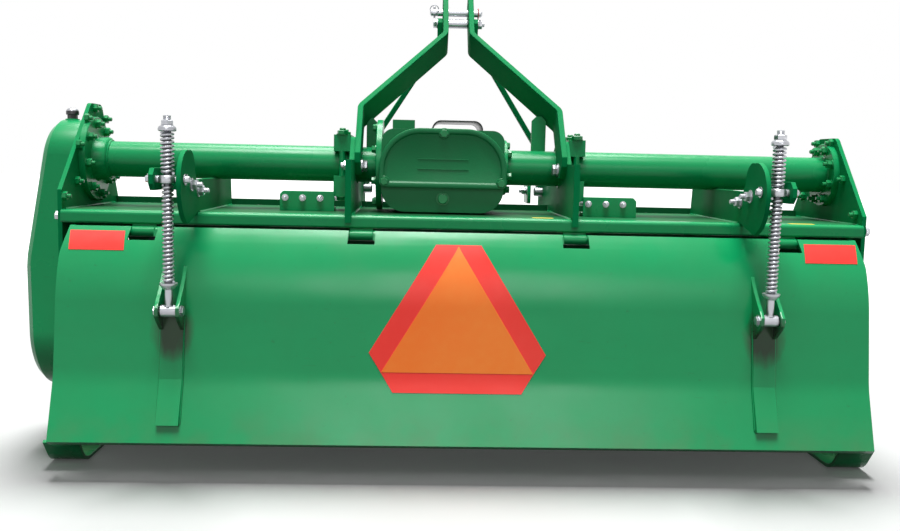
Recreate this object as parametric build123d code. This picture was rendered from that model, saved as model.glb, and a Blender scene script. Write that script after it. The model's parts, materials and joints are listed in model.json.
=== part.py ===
from build123d import *
import math
import os

# A tractor-mounted rotavator (rotary tiller). The machine is modelled with X across it
# (+X is its right-hand side seen from behind), +Y forward to the tractor and +Z up from the floor.
# Y = 0 is the tailboard's hinge line. The finished pieces are moved so that the origin is
# the centre of the machine's bottom. All sizes are in millimetres.

# ---------------------------------------------------------------- driving dimensions
# hood
hood_half_width = 940            # from the centre plane to a side plate's inner face
sheet_t = 6                      # deck sheet
deck_top_z = 583
deck_rear_y = 0
deck_bend_y = 430                # where the flat deck turns down to the front
deck_front_y = 560
deck_front_z = 430
skirt_bottom_z = 330
rail_depth = 34                  # box rail under the deck's rear edge
rail_height = 30                 # with the deck's thickness
rail_wall = 3
rail_top_round = 9
rail_foot_round = 5
lip_t = 8                        # upright lip along the deck's front edge
lip_height = 16
lip_back = 10                    # from the deck's front bend to the lip
deck_bend_r = 40
side_plate_t = 10
side_bottom_z = 40
side_rear_y = 12
side_front_y = 545
left_plate_corner = (225, 838)     # upper rear corner, as Y and Z
left_plate_kink_z = 628
right_plate_corner = (188, 794)
right_plate_kink_z = 604
side_hole_gap = 6                # around the rotor's journals
side_top_share = 0.72            # length of the top edge before the tube, as a share of the flange
side_top_round = 24
side_foot_cut = (60, 60)         # rear lower corner, cut in Y and Z
side_toe_cut = (130, 150)        # front lower corner
side_front_up = 15               # over the deck's front bend
# cross tube and its flanges
tube_y = 230
tube_z = 700
tube_r = 44.5
left_flange_r = 104
right_flange_r = 80
flange_t = 14
# rotor
rotor_z = 265
rotor_r = 245
rotor_tube_r = 44.5
journal_r = 25
journal_length = 38
hub_r = 112                      # corner radius of the hexagonal plates that carry the tines
hub_t = 8
hub_count = 8
tines_per_side = 3
tine_t = 8
tine_width = 76
tine_root_width = 50
tine_root_r = 58
tine_reach = 96                  # sideways reach of the bent blade
tine_bend = 26                   # height and reach of the bend's two facets
stub_flange_gap = 10             # stub axle flange to the side plate
stub_flange_t = 12
stub_flange = 104
hub_phase_deg = 22.5
end_gap = 20                     # outer blades to the side plates
# side drive case
case_upper_r = 95
case_lower_r = 138
case_depth_top = 70
case_depth_ridge = 118
case_depth_bottom = 100
case_ridge_z = 450
case_chamfer = 14
case_back_rim = 20               # depth that keeps a sharp edge at the side plate
# gearbox
gearbox_x = -60
gearbox_half_width = 150
gearbox_front_y = 340
gearbox_top_z = 789
gearbox_bottom_z = 588
sump_round = 58                  # round of the housing's lower corners
housing_round = 30
gearbox_flange_r = 114           # disc on the housing's left side
right_gearbox_flange_r = 70
cover_clearance = 2              # between the rear cover's seat and the flange discs
cover_width = 312
cover_bottom_z = 647
cover_round = 0.7                # round of the cover's upper corners, as a share of its height
cover_low_round = 22
cover_over_top = 3
cover_t = 16
cover_rim = 14
cover_recess = 5
input_z = 715
input_housing_r = 54
input_housing_length = 70
input_shaft_r = 17.4
input_root_r = 14.6
input_length = 90
input_neck = 24                  # plain neck before the splines
input_seat = 38                  # length of the shaft inside its housing
input_tip_plain = 3
breather_boss_x = (-125, -70)    # from the gearbox's middle
breather_boss_y = (170, 250)
breather_boss_up = 24
spline_count = 6
spline_width = 8.6
guard_half_width = 66
guard_top_z = 822
guard_bottom_z = 685
guard_t = 4
guard_length = 190
guard_round = 22
# headstock
headstock_x = -16                # the hitch sits a little left of the hood's middle
cheek_inner_x = 258
cheek_t = 14
cheek_rear_y = -10
cheek_tail_z = 566               # lower end of the tail behind the rail
cheek_rear_z = 712
cheek_over_tube = 24
cheek_arch_y = (-110, -55, 65)   # the rise over the tube, from the tube's axis
cheek_fall = (180, 105)          # in front of the tube, as Y from it and Z from the hitch pin
cheek_brow_up = 70
cheek_nose_up = 20
cheek_round = 22
hitch_pin_y = 585
hitch_pin_z = 600
hitch_nose_r = 42
hitch_shoulder_x = 341.5         # category I spread of 683 between the shoulders
hitch_pin_r = 11
hitch_pin_length = 102
hitch_shoulder_r = 24
clamp_width = 42
clamp_depth = 120
clamp_upper_z = (732, 773)
clamp_lower_z = (620, 671)
clamp_bolt_r = 8
clamp_bolt_reach = 53            # from the tube's axis to a clamp bolt's
mast_gap = 56
mast_t = 14
mast_bar_width = 78
mast_lean_deg = 42
top_pin_y = 505
top_pin_z = 1126
top_pin_r = 9.5
mast_above_pin = 58
mast_bend_down = 125             # along the bar, from the top pin to the upper bend
mast_corner_down = 408
mast_foot_down = 586
mast_bend_r = 24
bar_end_cut = 0.22               # cut of a bar's end corners, as a share of its width
top_pin_reach = (36, 26)         # beyond the mast bars, left and right
leg_width = 50
leg_top_up = 14
leg_bend_down = 48
leg_corner_down = 362
leg_foot_down = 470
spacer_down = 40                 # spacer bolt below the top pin, along the bar
spacer_r = 13
foot_gap = 38                    # from a cheek plate to its foot bracket
foot_length = 134
foot_depth = 50
foot_height = 49
foot_t = 10
foot_corner = 8
foot_y = 150
# tailboard and its hinges
hinge_z = 536
board_half_width = 922
board_t = 5
board_stand_off = 21             # rear face behind the hinge line, at the top edge
crease_1 = (-91, 375)
crease_2 = (-113, 217)
board_bend = (-160, 83)
board_lip = (-147, 74)
board_top_up = 13                # top edge above the hinge line
board_bulge = 13                 # bow of the sheet between its top edge and the first crease
board_corner_in = 12             # its upper corners are cut by this and this
board_corner_down = 58
end_rib_depth = 30
end_rib_t = 8
knuckle_xs = (-751, -250, 250, 751)
knuckle_r = 12
knuckle_gap = 1
frame_knuckle_width = 54
board_knuckle_width = 14
notch_gap = 4                    # between a hinge's knuckle and the notch in the sheet
hinge_pin_r = 6
hinge_lift_deg = 35
# spring rods
rod_in = 271                     # from a side plate's inner face to a spring rod
spring_shift = 7                 # both spring rods sit a little right of the hood's middle
rod_y = -128
eye_z = 372
trunnion_z = 660
rod_r = 9
rod_top_z = 797
eye_half = 13                    # half the eye block's depth and height
eye_half_width = 18
eye_bolt_r = 8
eye_ear_t = 8
eye_ear_r = 22
eye_ear_gap = 1
cone_z = 434
seat_r = 19.5
seat_t = 12
cap_z = 763
spring_r = 17
spring_wire = 4.8
trunnion_half_width = 20
trunnion_depth = 34
trunnion_height = 20
trunnion_pin_r = 8
ear_gap_half = 25.5
ear_t = 10
ear_r = 24
ear_corner = 0.59                # share of an ear's half height that its corners are cut by
ear_depth = 62
fin_front_y = 408
fin_front_lean = 12
fin_into_tube = 3
fin_heel = (-94, 562)
fin_heel_arc = (-12, 592)        # Y from the rod, Z
lobe_back = (-32, -18)           # points round the rear lobe, from the trunnion
lobe_top = (-12, 44)
lobe_crown = (50, 64)
lobe_brow = (92, 50)
lobe_throat = (104, 18)
lobe_neck_y = 116
running_gap = 0.1
small_flat_count = 14            # flats on small rounds that repeat
large_flat_count = 24            # flats on the rotor's tube, journals and bores
disc_flat_count = 44             # flats on the cross tube's discs
sheet_flat_count = 7             # flats that draw a bowed edge or sheet
# tailboard brackets
strip_width = 50
strip_t = 6
strip_bottom_z = 122
strip_foot_in = 8                # in front of the lower bend
rib_top_z = 505
rib_tip_y = -44
rib_hollow = -8                  # bow of a rib's rear edge, hollow
rib_top_depth = 14
rib_root = (12, 8)               # how far a rib's front edge runs into the sheet at each crease
rib_low = 46                     # a rib's lower end below the rod's eye
# skids
skid_t = 8
skid_width = 80
skid_web_top_z = 115
skid_rear_y = -10
skid_front_y = 430
skid_tail = ((-75, 62), (-30, 4))      # turned-up rear end, as Y from the rear and Z
skid_toe = ((30, 4), (95, 88))         # and front end, from the front
skid_bend_r = 60
skid_web_in = 25
# right rotor bearing
bearing_flange = 136
bearing_flange_t = 12
bearing_boss_r = 48
bearing_boss_length = 42

# ---------------------------------------------------------------- sizes that follow
side_outer_x = hood_half_width + side_plate_t
rod_x = hood_half_width - rod_in
rotor_y = tube_y
gearbox_rear_y = tube_y - gearbox_flange_r - cover_clearance
mast_lean = math.radians(mast_lean_deg)
mast_bar_x = mast_gap / 2 + mast_t / 2
mast_foot_x = cheek_inner_x - mast_t / 2
spacer_y = top_pin_y - spacer_down * math.sin(mast_lean) + 22
spacer_z = top_pin_z - spacer_down * math.cos(mast_lean)
leg_lean = -math.atan2(hitch_pin_y - 18 - spacer_y, spacer_z - hitch_pin_z)
board_top_z = hinge_z + board_top_up
rail_bottom_z = deck_top_z - rail_height
eye_bolt_reach = eye_half_width + eye_ear_gap + eye_ear_t


def box(x, y, z):
    """A block between two places along each axis, given as pairs."""
    size = [abs(pair[1] - pair[0]) for pair in (x, y, z)]
    middle = [(pair[0] + pair[1]) / 2 for pair in (x, y, z)]
    return Pos(*middle) * Box(*size)


def rod_along_x(radius, x, y, z):
    """A round bar between two places on X."""
    return Pos((x[0] + x[1]) / 2, y, z) * Rot(0, 90, 0) * Cylinder(radius, abs(x[1] - x[0]))


def flatted_bar_x(radius, x, y, z, flats):
    """A round bar along X, drawn with flats; the radius is to its corners."""
    section = Pos(y, z) * RegularPolygon(radius, flats)
    return extrude(Plane.YZ.offset(x[0]) * section, x[1] - x[0])


def flatted_bar_y(radius, x, y, z, flats):
    """The same bar along Y."""
    section = Pos(x, z) * RegularPolygon(radius, flats)
    return extrude(Plane.XZ.offset(-y[1]) * section, y[1] - y[0])


def flatted_bar_z(radius, x, y, z, flats):
    """The same bar along Z."""
    section = Pos(x, y) * RegularPolygon(radius, flats)
    return extrude(Plane.XY.offset(z[0]) * section, z[1] - z[0])


def flatted_hole_x(radius, x, y, z, flats):
    """The hole along X in which a round bar of this radius turns freely."""
    return flatted_bar_x(radius / math.cos(math.pi / flats), x, y, z, flats)


def flatted_hole_z(radius, x, y, z, flats):
    """The same hole along Z."""
    return flatted_bar_z(radius / math.cos(math.pi / flats), x, y, z, flats)


def bowed(start, end, bulge):
    """Points of a line that bows out to the left of its way from start to end, drawn with flats."""
    chord = math.dist(start, end)
    out_y = -(end[1] - start[1]) / chord
    out_z = (end[0] - start[0]) / chord
    points = []
    for step in range(sheet_flat_count + 1):
        share = step / sheet_flat_count
        rise = 4 * bulge * share * (1 - share)
        y = start[0] + (end[0] - start[0]) * share + out_y * rise
        z = start[1] + (end[1] - start[1]) * share + out_z * rise
        points.append((y, z))
    return points


def across(profile, x):
    """A Y-Z profile carried along X between two places."""
    return extrude(Plane.YZ.offset(x[0]) * profile, x[1] - x[0])


def other_side(shape):
    """The same piece on the machine's other side."""
    return mirror(shape, about=Plane.YZ)


# ---------------------------------------------------------------- closed linkage of a spring rod
def rod_motion(lift_deg):
    """Tilt of the rod and its slide through the trunnion for a tailboard lifted by an angle."""
    lift = math.radians(lift_deg)
    y = rod_y * math.cos(lift) + (eye_z - hinge_z) * math.sin(lift)
    z = -rod_y * math.sin(lift) + (eye_z - hinge_z) * math.cos(lift)
    reach_y = rod_y - y
    reach_z = (trunnion_z - hinge_z) - z
    tilt = math.atan2(reach_y, reach_z)
    slide = (trunnion_z - eye_z) - math.hypot(reach_y, reach_z)
    return tilt, slide, y, z


full_lift = math.radians(hinge_lift_deg)
tilt_ratio = rod_motion(hinge_lift_deg)[0] / full_lift
slide_ratio = rod_motion(hinge_lift_deg)[1] / full_lift


def eye_drift(lift_deg):
    """Distance of the rod's eye from its pin when the rod follows with steady ratios."""
    lift = math.radians(lift_deg)
    tilt, slide, y, z = rod_motion(lift_deg)
    length = (trunnion_z - eye_z) - slide_ratio * lift
    eye_y = rod_y - length * math.sin(tilt_ratio * lift)
    eye_height = (trunnion_z - hinge_z) - length * math.cos(tilt_ratio * lift)
    return math.hypot(eye_y - y, eye_height - z)


worst_drift = max(eye_drift(hinge_lift_deg * step / 20) for step in range(21))
ear_hole_r = eye_bolt_r + worst_drift + 1.5


# ---------------------------------------------------------------- hood
def make_hood_deck():
    edge = deck_top_z - sheet_t / 2
    line = FilletPolyline(
        (deck_rear_y + rail_depth, edge),
        (deck_bend_y, edge),
        (deck_front_y, deck_front_z),
        (deck_front_y, skirt_bottom_z),
        radius=deck_bend_r,
    )
    x = (-hood_half_width, hood_half_width)
    deck = across(trace(line, sheet_t), x)
    lip_y = (deck_bend_y - lip_back - lip_t, deck_bend_y - lip_back)
    lip = box(x, lip_y, (deck_top_z, deck_top_z + lip_height))
    for side in (-1, 1):
        inner = headstock_x + side * (cheek_inner_x - 1)
        slot = sorted((inner, inner + side * (cheek_t + 2)))
        lip -= box(slot, (lip_y[0] - 1, lip_y[1] + 1), (deck_top_z - 1, deck_top_z + lip_height + 1))
    return deck + lip


def make_rear_rail():
    x = (-hood_half_width, hood_half_width)
    middle = Pos(deck_rear_y + rail_depth / 2, deck_top_z - rail_height / 2)
    profile = middle * Rectangle(rail_depth, rail_height)
    rear = profile.vertices().sort_by(Axis.X)[:2].sort_by(Axis.Y)
    profile = fillet(rear[1], rail_top_round)
    rear = profile.vertices().sort_by(Axis.Y)[:2].sort_by(Axis.X)
    profile = fillet(rear[0], rail_foot_round)
    profile -= middle * Rectangle(rail_depth - 2 * rail_wall, rail_height - 2 * rail_wall)
    return across(profile, x)


def make_side_plate(side, corner, kink_z, flange_r):
    corner_y, corner_z = corner
    outline = Polyline(
        (side_rear_y, side_bottom_z + side_foot_cut[1]),
        (side_rear_y, kink_z),
        (corner_y, corner_z),
        (tube_y + flange_r * side_top_share, corner_z),
        (deck_bend_y, deck_top_z + side_front_up),
        (side_front_y, deck_front_z),
        (side_front_y, side_bottom_z + side_toe_cut[1]),
        (side_front_y - side_toe_cut[0], side_bottom_z),
        (side_rear_y + side_foot_cut[0], side_bottom_z),
        close=True,
    )
    face = make_face(outline)
    upper = [corner for corner in face.vertices() if corner.Y > kink_z + 1]
    plate = fillet(upper, side_top_round)
    inner = side * hood_half_width
    solid = across(plate, sorted((inner, side * side_outer_x)))
    reach = sorted((side * (hood_half_width - 1), side * (side_outer_x + 1)))
    return solid - flatted_hole_x(journal_r + side_hole_gap, reach, rotor_y, rotor_z, large_flat_count)


def make_tube(side, outer_r, inner_r):
    """Half of the cross tube, with a disc at the side plate and one at the gearbox."""
    inner_x = gearbox_x + side * gearbox_half_width
    ends = sorted((side * hood_half_width, inner_x + side * flange_t))
    tube = rod_along_x(tube_r, ends, tube_y, tube_z)
    outer = sorted((side * hood_half_width, side * (hood_half_width - flange_t)))
    tube += flatted_bar_x(outer_r, outer, tube_y, tube_z, disc_flat_count)
    inner = sorted((inner_x, inner_x + side * flange_t))
    return tube + flatted_bar_x(inner_r, inner, tube_y, tube_z, disc_flat_count)


# ---------------------------------------------------------------- side drive
def make_side_drive_case():
    upper = Pos(tube_y, tube_z) * Circle(case_upper_r)
    lower = Pos(rotor_y, rotor_z) * Circle(case_lower_r)
    wires = Sketch() + [upper, lower]
    outline = make_hull(wires.edges())
    outer = side_outer_x + case_depth_ridge
    block = across(outline, (-outer, -side_outer_x))
    top = tube_z + case_upper_r + 5
    bottom = rotor_z - case_lower_r - 5
    limits = Polyline(
        (-side_outer_x, bottom),
        (-side_outer_x - case_depth_bottom, bottom),
        (-side_outer_x - case_depth_ridge, case_ridge_z),
        (-side_outer_x - case_depth_top, top),
        (-side_outer_x, top),
        close=True,
    )
    wedge = extrude(Plane.XZ * make_face(limits), 400, both=True)
    case = block & (Pos(0, tube_y, 0) * wedge)
    back = -side_outer_x - case_back_rim
    rim = [edge for edge in case.edges() if edge.bounding_box().max.X < back]
    case = chamfer(rim, case_chamfer)
    bore = (-side_outer_x - journal_length, -side_outer_x)
    return case - flatted_hole_x(journal_r + running_gap, bore, rotor_y, rotor_z, large_flat_count)


def make_rotor_bearing():
    half = bearing_flange / 2
    flange_x = (side_outer_x, side_outer_x + bearing_flange_t)
    boss_x = (side_outer_x, side_outer_x + bearing_boss_length)
    bore_x = (side_outer_x - 1, side_outer_x + journal_length)
    housing = box(flange_x, (rotor_y - half, rotor_y + half), (rotor_z - half, rotor_z + half))
    housing += flatted_bar_x(bearing_boss_r, boss_x, rotor_y, rotor_z, large_flat_count)
    return housing - flatted_hole_x(journal_r + running_gap, bore_x, rotor_y, rotor_z, large_flat_count)


# ---------------------------------------------------------------- rotor
hub_pitch = 2 * (hood_half_width - end_gap - tine_reach - hub_t / 2) / (hub_count - 1)
hub_xs = [hub_pitch * (index - (hub_count - 1) / 2) for index in range(hub_count)]


def make_stub_axle():
    """The flanged journal that is bolted into the end of the rotor's tube."""
    end = hood_half_width - stub_flange_gap
    half = stub_flange / 2
    flange_y = (rotor_y - half, rotor_y + half)
    flange = box((end - stub_flange_t, end), flange_y, (rotor_z - half, rotor_z + half))
    journal_x = (end, side_outer_x + journal_length - 2)
    return flange + flatted_bar_x(journal_r, journal_x, rotor_y, rotor_z, large_flat_count)


def make_tine():
    """One blade that bends to +X, its root on the face x = 0 and its shank along +Z."""
    centre = tine_t / 2
    tip_r = math.sqrt(rotor_r**2 - (tine_width / 2) ** 2) - tine_t / 2
    line = Polyline(
        (centre, tine_root_r),
        (centre, tip_r - tine_bend),
        (centre + tine_bend, tip_r),
        (tine_reach, tip_r),
    )
    bent = extrude(Plane.XZ * trace(line, tine_t), tine_width, both=True)
    half_root = tine_root_width / 2
    half = tine_width / 2
    side_view = make_face(
        Polyline(
            (-half_root, tine_root_r),
            (half_root, tine_root_r),
            (half, tip_r - tine_bend),
            (half, rotor_r + 1),
            (-half, rotor_r + 1),
            (-half, tip_r - tine_bend),
            close=True,
        )
    )
    blank = across(side_view, (0, tine_reach + tine_t))
    plan = make_face(
        Polyline(
            (-1, -tine_width),
            (tine_bend + tine_t, -tine_width),
            (tine_reach + 1, 4 - half_root),
            (tine_reach + 1, tine_width),
            (-1, tine_width),
            close=True,
        )
    )
    return bent & blank & extrude(plan, rotor_r + 10)


def make_rotor():
    """Tube, hexagonal hubs and blades; three blades a hub bend each way and every hub is turned on."""
    end = hood_half_width - stub_flange_gap - stub_flange_t
    reel = flatted_bar_x(rotor_tube_r, (-end, end), rotor_y, rotor_z, large_flat_count)
    blades = {1: make_tine(), -1: mirror(make_tine(), about=Plane.YZ)}
    hub = extrude(Plane.YZ * RegularPolygon(hub_r, 2 * tines_per_side), hub_t / 2, both=True)
    step = 360 / tines_per_side
    pieces_on_tube = []
    for index, x in enumerate(hub_xs):
        phase = index * hub_phase_deg
        pieces_on_tube.append(Pos(x, rotor_y, rotor_z) * Rot(phase + step / 4, 0, 0) * hub)
        for side, blade in blades.items():
            first = phase if side > 0 else phase + step / 2
            for count in range(tines_per_side):
                turn = Rot(first + count * step, 0, 0)
                pieces_on_tube.append(Pos(x + side * hub_t / 2, rotor_y, rotor_z) * turn * blade)
    return reel.fuse(*pieces_on_tube)


# ---------------------------------------------------------------- gearbox
def make_gearbox_housing():
    left = gearbox_x - gearbox_half_width
    right = gearbox_x + gearbox_half_width
    section = Polyline(
        (left, gearbox_bottom_z),
        (left, gearbox_top_z),
        (right, gearbox_top_z),
        (right, gearbox_bottom_z),
        close=True,
    )
    face = make_face(section)
    face = fillet([corner for corner in face.vertices() if corner.Y > tube_z], housing_round)
    face = fillet([corner for corner in face.vertices() if corner.Y < gearbox_bottom_z + 1], sump_round)
    body = extrude(Plane.XZ.offset(-gearbox_front_y) * face, gearbox_front_y - gearbox_rear_y)
    nose = gearbox_front_y + input_housing_length
    housing_y = (gearbox_front_y - input_seat, nose)
    body += flatted_bar_y(input_housing_r, headstock_x, housing_y, input_z, disc_flat_count)
    boss_x = (gearbox_x + breather_boss_x[0], gearbox_x + breather_boss_x[1])
    body += box(boss_x, breather_boss_y, (input_z, gearbox_top_z + breather_boss_up))
    bore_y = (nose - input_seat - 2, nose + 1)
    bore_r = (input_shaft_r + running_gap / 2) / math.cos(math.pi / large_flat_count)
    return body - flatted_bar_y(bore_r, headstock_x, bore_y, input_z, large_flat_count)


def make_gearbox_cover():
    width = cover_width
    low = cover_bottom_z
    high = gearbox_top_z + cover_over_top
    face = make_face(
        Polyline(
            (gearbox_x - width / 2, low),
            (gearbox_x - width / 2, high),
            (gearbox_x + width / 2, high),
            (gearbox_x + width / 2, low),
            close=True,
        )
    )
    upper = [corner for corner in face.vertices() if corner.Y > tube_z]
    face = fillet(upper, cover_round * (high - low))
    lower = [corner for corner in face.vertices() if corner.Y < low + 1]
    face = fillet(lower, cover_low_round)
    cover = extrude(Plane.XZ.offset(-gearbox_rear_y) * face, cover_t)
    panel = offset(face, -cover_rim)
    bottom = gearbox_rear_y - cover_t + cover_recess
    return cover - extrude(Plane.XZ.offset(-bottom) * panel, cover_t)


def make_input_shaft():
    nose = gearbox_front_y + input_housing_length
    spline_start = nose + input_neck
    tip = spline_start + input_length - input_neck / 2
    spline_end = tip - input_tip_plain
    neck_y = (nose - input_seat, spline_start)
    shaft = flatted_bar_y(input_shaft_r, headstock_x, neck_y, input_z, large_flat_count)
    shaft += flatted_bar_y(input_root_r, headstock_x, (nose, tip), input_z, large_flat_count)
    tooth = Pos(0, (spline_start + spline_end) / 2, (input_root_r + input_shaft_r) / 2 - 1)
    tooth *= Box(spline_width, spline_end - spline_start, input_shaft_r - input_root_r + 2)
    for index in range(spline_count):
        shaft += Pos(headstock_x, 0, input_z) * Rot(0, index * 360 / spline_count, 0) * tooth
    return shaft


def make_input_guard():
    line = FilletPolyline(
        (-guard_half_width, guard_bottom_z),
        (-guard_half_width, guard_top_z - guard_t / 2),
        (guard_half_width, guard_top_z - guard_t / 2),
        (guard_half_width, guard_bottom_z),
        radius=guard_round,
    )
    rear = gearbox_front_y
    return extrude(Plane.XZ.offset(-rear - guard_length) * trace(line, guard_t), guard_length)


# ---------------------------------------------------------------- headstock
def make_cheek_plate():
    over = tube_z + tube_r + cheek_over_tube
    outline = Polyline(
        (cheek_rear_y, cheek_tail_z),
        (cheek_rear_y, cheek_rear_z),
        (tube_y + cheek_arch_y[0], cheek_rear_z),
        (tube_y + cheek_arch_y[1], over),
        (tube_y + cheek_arch_y[2], over),
        (tube_y + cheek_fall[0], hitch_pin_z + cheek_fall[1]),
        (hitch_pin_y, hitch_pin_z + cheek_brow_up),
        (hitch_pin_y + hitch_nose_r, hitch_pin_z + cheek_nose_up),
        (hitch_pin_y + hitch_nose_r, hitch_pin_z - hitch_nose_r),
        (hitch_pin_y - hitch_nose_r, hitch_pin_z - hitch_nose_r),
        (deck_bend_y + 4, deck_top_z),
        (deck_rear_y, deck_top_z),
        (deck_rear_y, cheek_tail_z),
        close=True,
    )
    face = make_face(outline)
    corners = face.vertices()
    rounded = [corner for corner in corners if corner.X > hitch_pin_y - 1 or corner.Y > cheek_rear_z + 1]
    plate = across(fillet(rounded, cheek_round), (cheek_inner_x, cheek_inner_x + cheek_t))
    reach = (cheek_inner_x - 1, cheek_inner_x + cheek_t + 1)
    return plate - flatted_hole_x(tube_r + 0.2, reach, tube_y, tube_z, large_flat_count)


def make_hitch_pin():
    """A lower hitch pin whose hexagonal shoulder is welded to the cheek plate."""
    outer_face = cheek_inner_x + cheek_t
    shoulder = Pos(hitch_pin_y, hitch_pin_z) * RegularPolygon(hitch_shoulder_r, 6)
    pin = extrude(Plane.YZ.offset(outer_face) * shoulder, hitch_shoulder_x - outer_face)
    tip = hitch_shoulder_x + hitch_pin_length
    return pin + rod_along_x(hitch_pin_r, (hitch_shoulder_x, tip), hitch_pin_y, hitch_pin_z)


def make_tube_clamp():
    """Two blocks that hold the cross tube between them, and the bolts that draw them together."""
    x = (cheek_inner_x + cheek_t, cheek_inner_x + cheek_t + clamp_width)
    y = (tube_y - clamp_depth / 2, tube_y + clamp_depth / 2)
    clamp = box(x, y, clamp_upper_z) + box(x, y, clamp_lower_z)
    for side in (-1, 1):
        bolt_y = tube_y + side * clamp_bolt_reach
        bolt_z = (clamp_lower_z[1] - 1, clamp_upper_z[0] + 1)
        clamp += flatted_bar_z(clamp_bolt_r, x[0] + clamp_width / 2, bolt_y, bolt_z, small_flat_count)
    reach = (x[0] - 1, x[1] + 1)
    return clamp - flatted_hole_x(tube_r, reach, tube_y, tube_z, large_flat_count)


def bent_bar(points, width, lean, origin):
    """A flat bar bent the easy way in a plane that leans back; points are (x, along the bar)."""
    plane = Plane(origin=origin, x_dir=(1, 0, 0), z_dir=(0, -math.cos(lean), math.sin(lean)))
    line = FilletPolyline(*points, radius=mast_bend_r)
    bar = extrude(plane * trace(line, mast_t), width / 2, both=True)
    ends = bar.edges().filter_by(Axis.X).sort_by(Axis.Z)[-4:]
    corners = [edge for edge in ends if edge.length < mast_t + 1]
    return chamfer(corners, width * bar_end_cut)


def make_mast_bar():
    points = (
        (mast_bar_x, mast_above_pin),
        (mast_bar_x, -mast_bend_down),
        (mast_foot_x, -mast_corner_down),
        (mast_foot_x, -mast_foot_down),
    )
    bar = bent_bar(points, mast_bar_width, mast_lean, (0, top_pin_y, top_pin_z))
    reach = (mast_gap / 2 - 1, mast_gap / 2 + mast_t + 1)
    bar -= rod_along_x(top_pin_r + running_gap, reach, top_pin_y, top_pin_z)
    foot = (mast_foot_x - mast_t, mast_foot_x + mast_t)
    return bar - flatted_hole_x(tube_r, foot, tube_y, tube_z, large_flat_count)


def make_mast_leg():
    points = (
        (mast_bar_x + mast_t, leg_top_up),
        (mast_bar_x + mast_t, -leg_bend_down),
        (mast_foot_x, -leg_corner_down),
        (mast_foot_x, -leg_foot_down),
    )
    return bent_bar(points, leg_width, leg_lean, (0, spacer_y, spacer_z))


def make_mast_spacer():
    return flatted_bar_x(spacer_r, (-mast_gap / 2, mast_gap / 2), spacer_y, spacer_z, small_flat_count)


def make_top_link_pin():
    half = mast_gap / 2 + mast_t
    ends = (-half - top_pin_reach[0], half + top_pin_reach[1])
    return rod_along_x(top_pin_r, ends, top_pin_y, top_pin_z)


def make_foot_plate():
    """An angle bolted beside a cheek plate, its upright leg to the rear."""
    near = cheek_inner_x + cheek_t + foot_gap
    x = (near, near + foot_length)
    upright = make_face(
        Polyline(
            (x[0], deck_top_z),
            (x[0], deck_top_z + foot_height),
            (x[1] - foot_corner, deck_top_z + foot_height),
            (x[1], deck_top_z + foot_height - foot_corner),
            (x[1], deck_top_z),
            close=True,
        )
    )
    plate = extrude(Plane.XZ.offset(-foot_y - foot_t) * upright, foot_t)
    return plate + box(x, (foot_y, foot_y + foot_depth), (deck_top_z, deck_top_z + foot_t))


# ---------------------------------------------------------------- spring brackets on the frame
def make_fin():
    """A fin on the deck and under the tube whose rear lobe carries one spring rod's trunnion."""
    inner = rod_x - ear_gap_half - ear_t
    under_tube = tube_z - tube_r + fin_into_tube
    heel_arc = (rod_y + fin_heel_arc[0], fin_heel_arc[1])
    lobe = [
        (rod_y + y, trunnion_z + z)
        for y, z in (lobe_back, lobe_top, lobe_crown, lobe_brow, lobe_throat)
    ]
    outline = make_face(
        [
            Line((deck_rear_y, deck_top_z), fin_heel),
            ThreePointArc(fin_heel, heel_arc, lobe[0]),
            ThreePointArc(*lobe[:3]),
            ThreePointArc(*lobe[2:]),
            Polyline(
                lobe[-1],
                (rod_y + lobe_neck_y, under_tube),
                (fin_front_y - fin_front_lean, under_tube),
                (fin_front_y, deck_top_z),
                (deck_rear_y, deck_top_z),
            ),
        ]
    )
    fin = across(outline, (inner, inner + ear_t))
    fin -= rod_along_x(tube_r, (inner - 1, inner + ear_t + 1), tube_y, tube_z)
    outer = rod_x + ear_gap_half
    cut = ear_r * ear_corner
    ear_face = make_face(
        Polyline(
            (rod_y - ear_r + cut, trunnion_z - ear_r),
            (rod_y - ear_r, trunnion_z - ear_r + cut),
            (rod_y - ear_r, trunnion_z + ear_r - cut),
            (rod_y - ear_r + cut, trunnion_z + ear_r),
            (rod_y + ear_depth, trunnion_z + ear_r),
            (rod_y + ear_depth, trunnion_z - ear_r),
            close=True,
        )
    )
    fin += across(ear_face, (outer, outer + ear_t))
    back = (rod_y + ear_depth - ear_t, rod_y + ear_depth)
    fin += box((inner, outer + ear_t), back, (trunnion_z - ear_r, trunnion_z + ear_r))
    reach = (inner - 1, outer + ear_t + 1)
    fin -= flatted_hole_x(trunnion_pin_r + running_gap, reach, rod_y, trunnion_z, small_flat_count)
    return fin


# ---------------------------------------------------------------- trunnions, rods and springs
def make_trunnion():
    half = trunnion_half_width
    block = box(
        (rod_x - half, rod_x + half),
        (rod_y - trunnion_depth / 2, rod_y + trunnion_depth / 2),
        (trunnion_z - trunnion_height / 2, trunnion_z + trunnion_height / 2),
    )
    reach = ear_gap_half + ear_t + 12
    pin_x = (rod_x - reach, rod_x + reach)
    block += flatted_bar_x(trunnion_pin_r, pin_x, rod_y, trunnion_z, small_flat_count)
    through = (trunnion_z - trunnion_height, trunnion_z + trunnion_height)
    return block - flatted_hole_z(rod_r + running_gap, rod_x, rod_y, through, small_flat_count)


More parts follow.
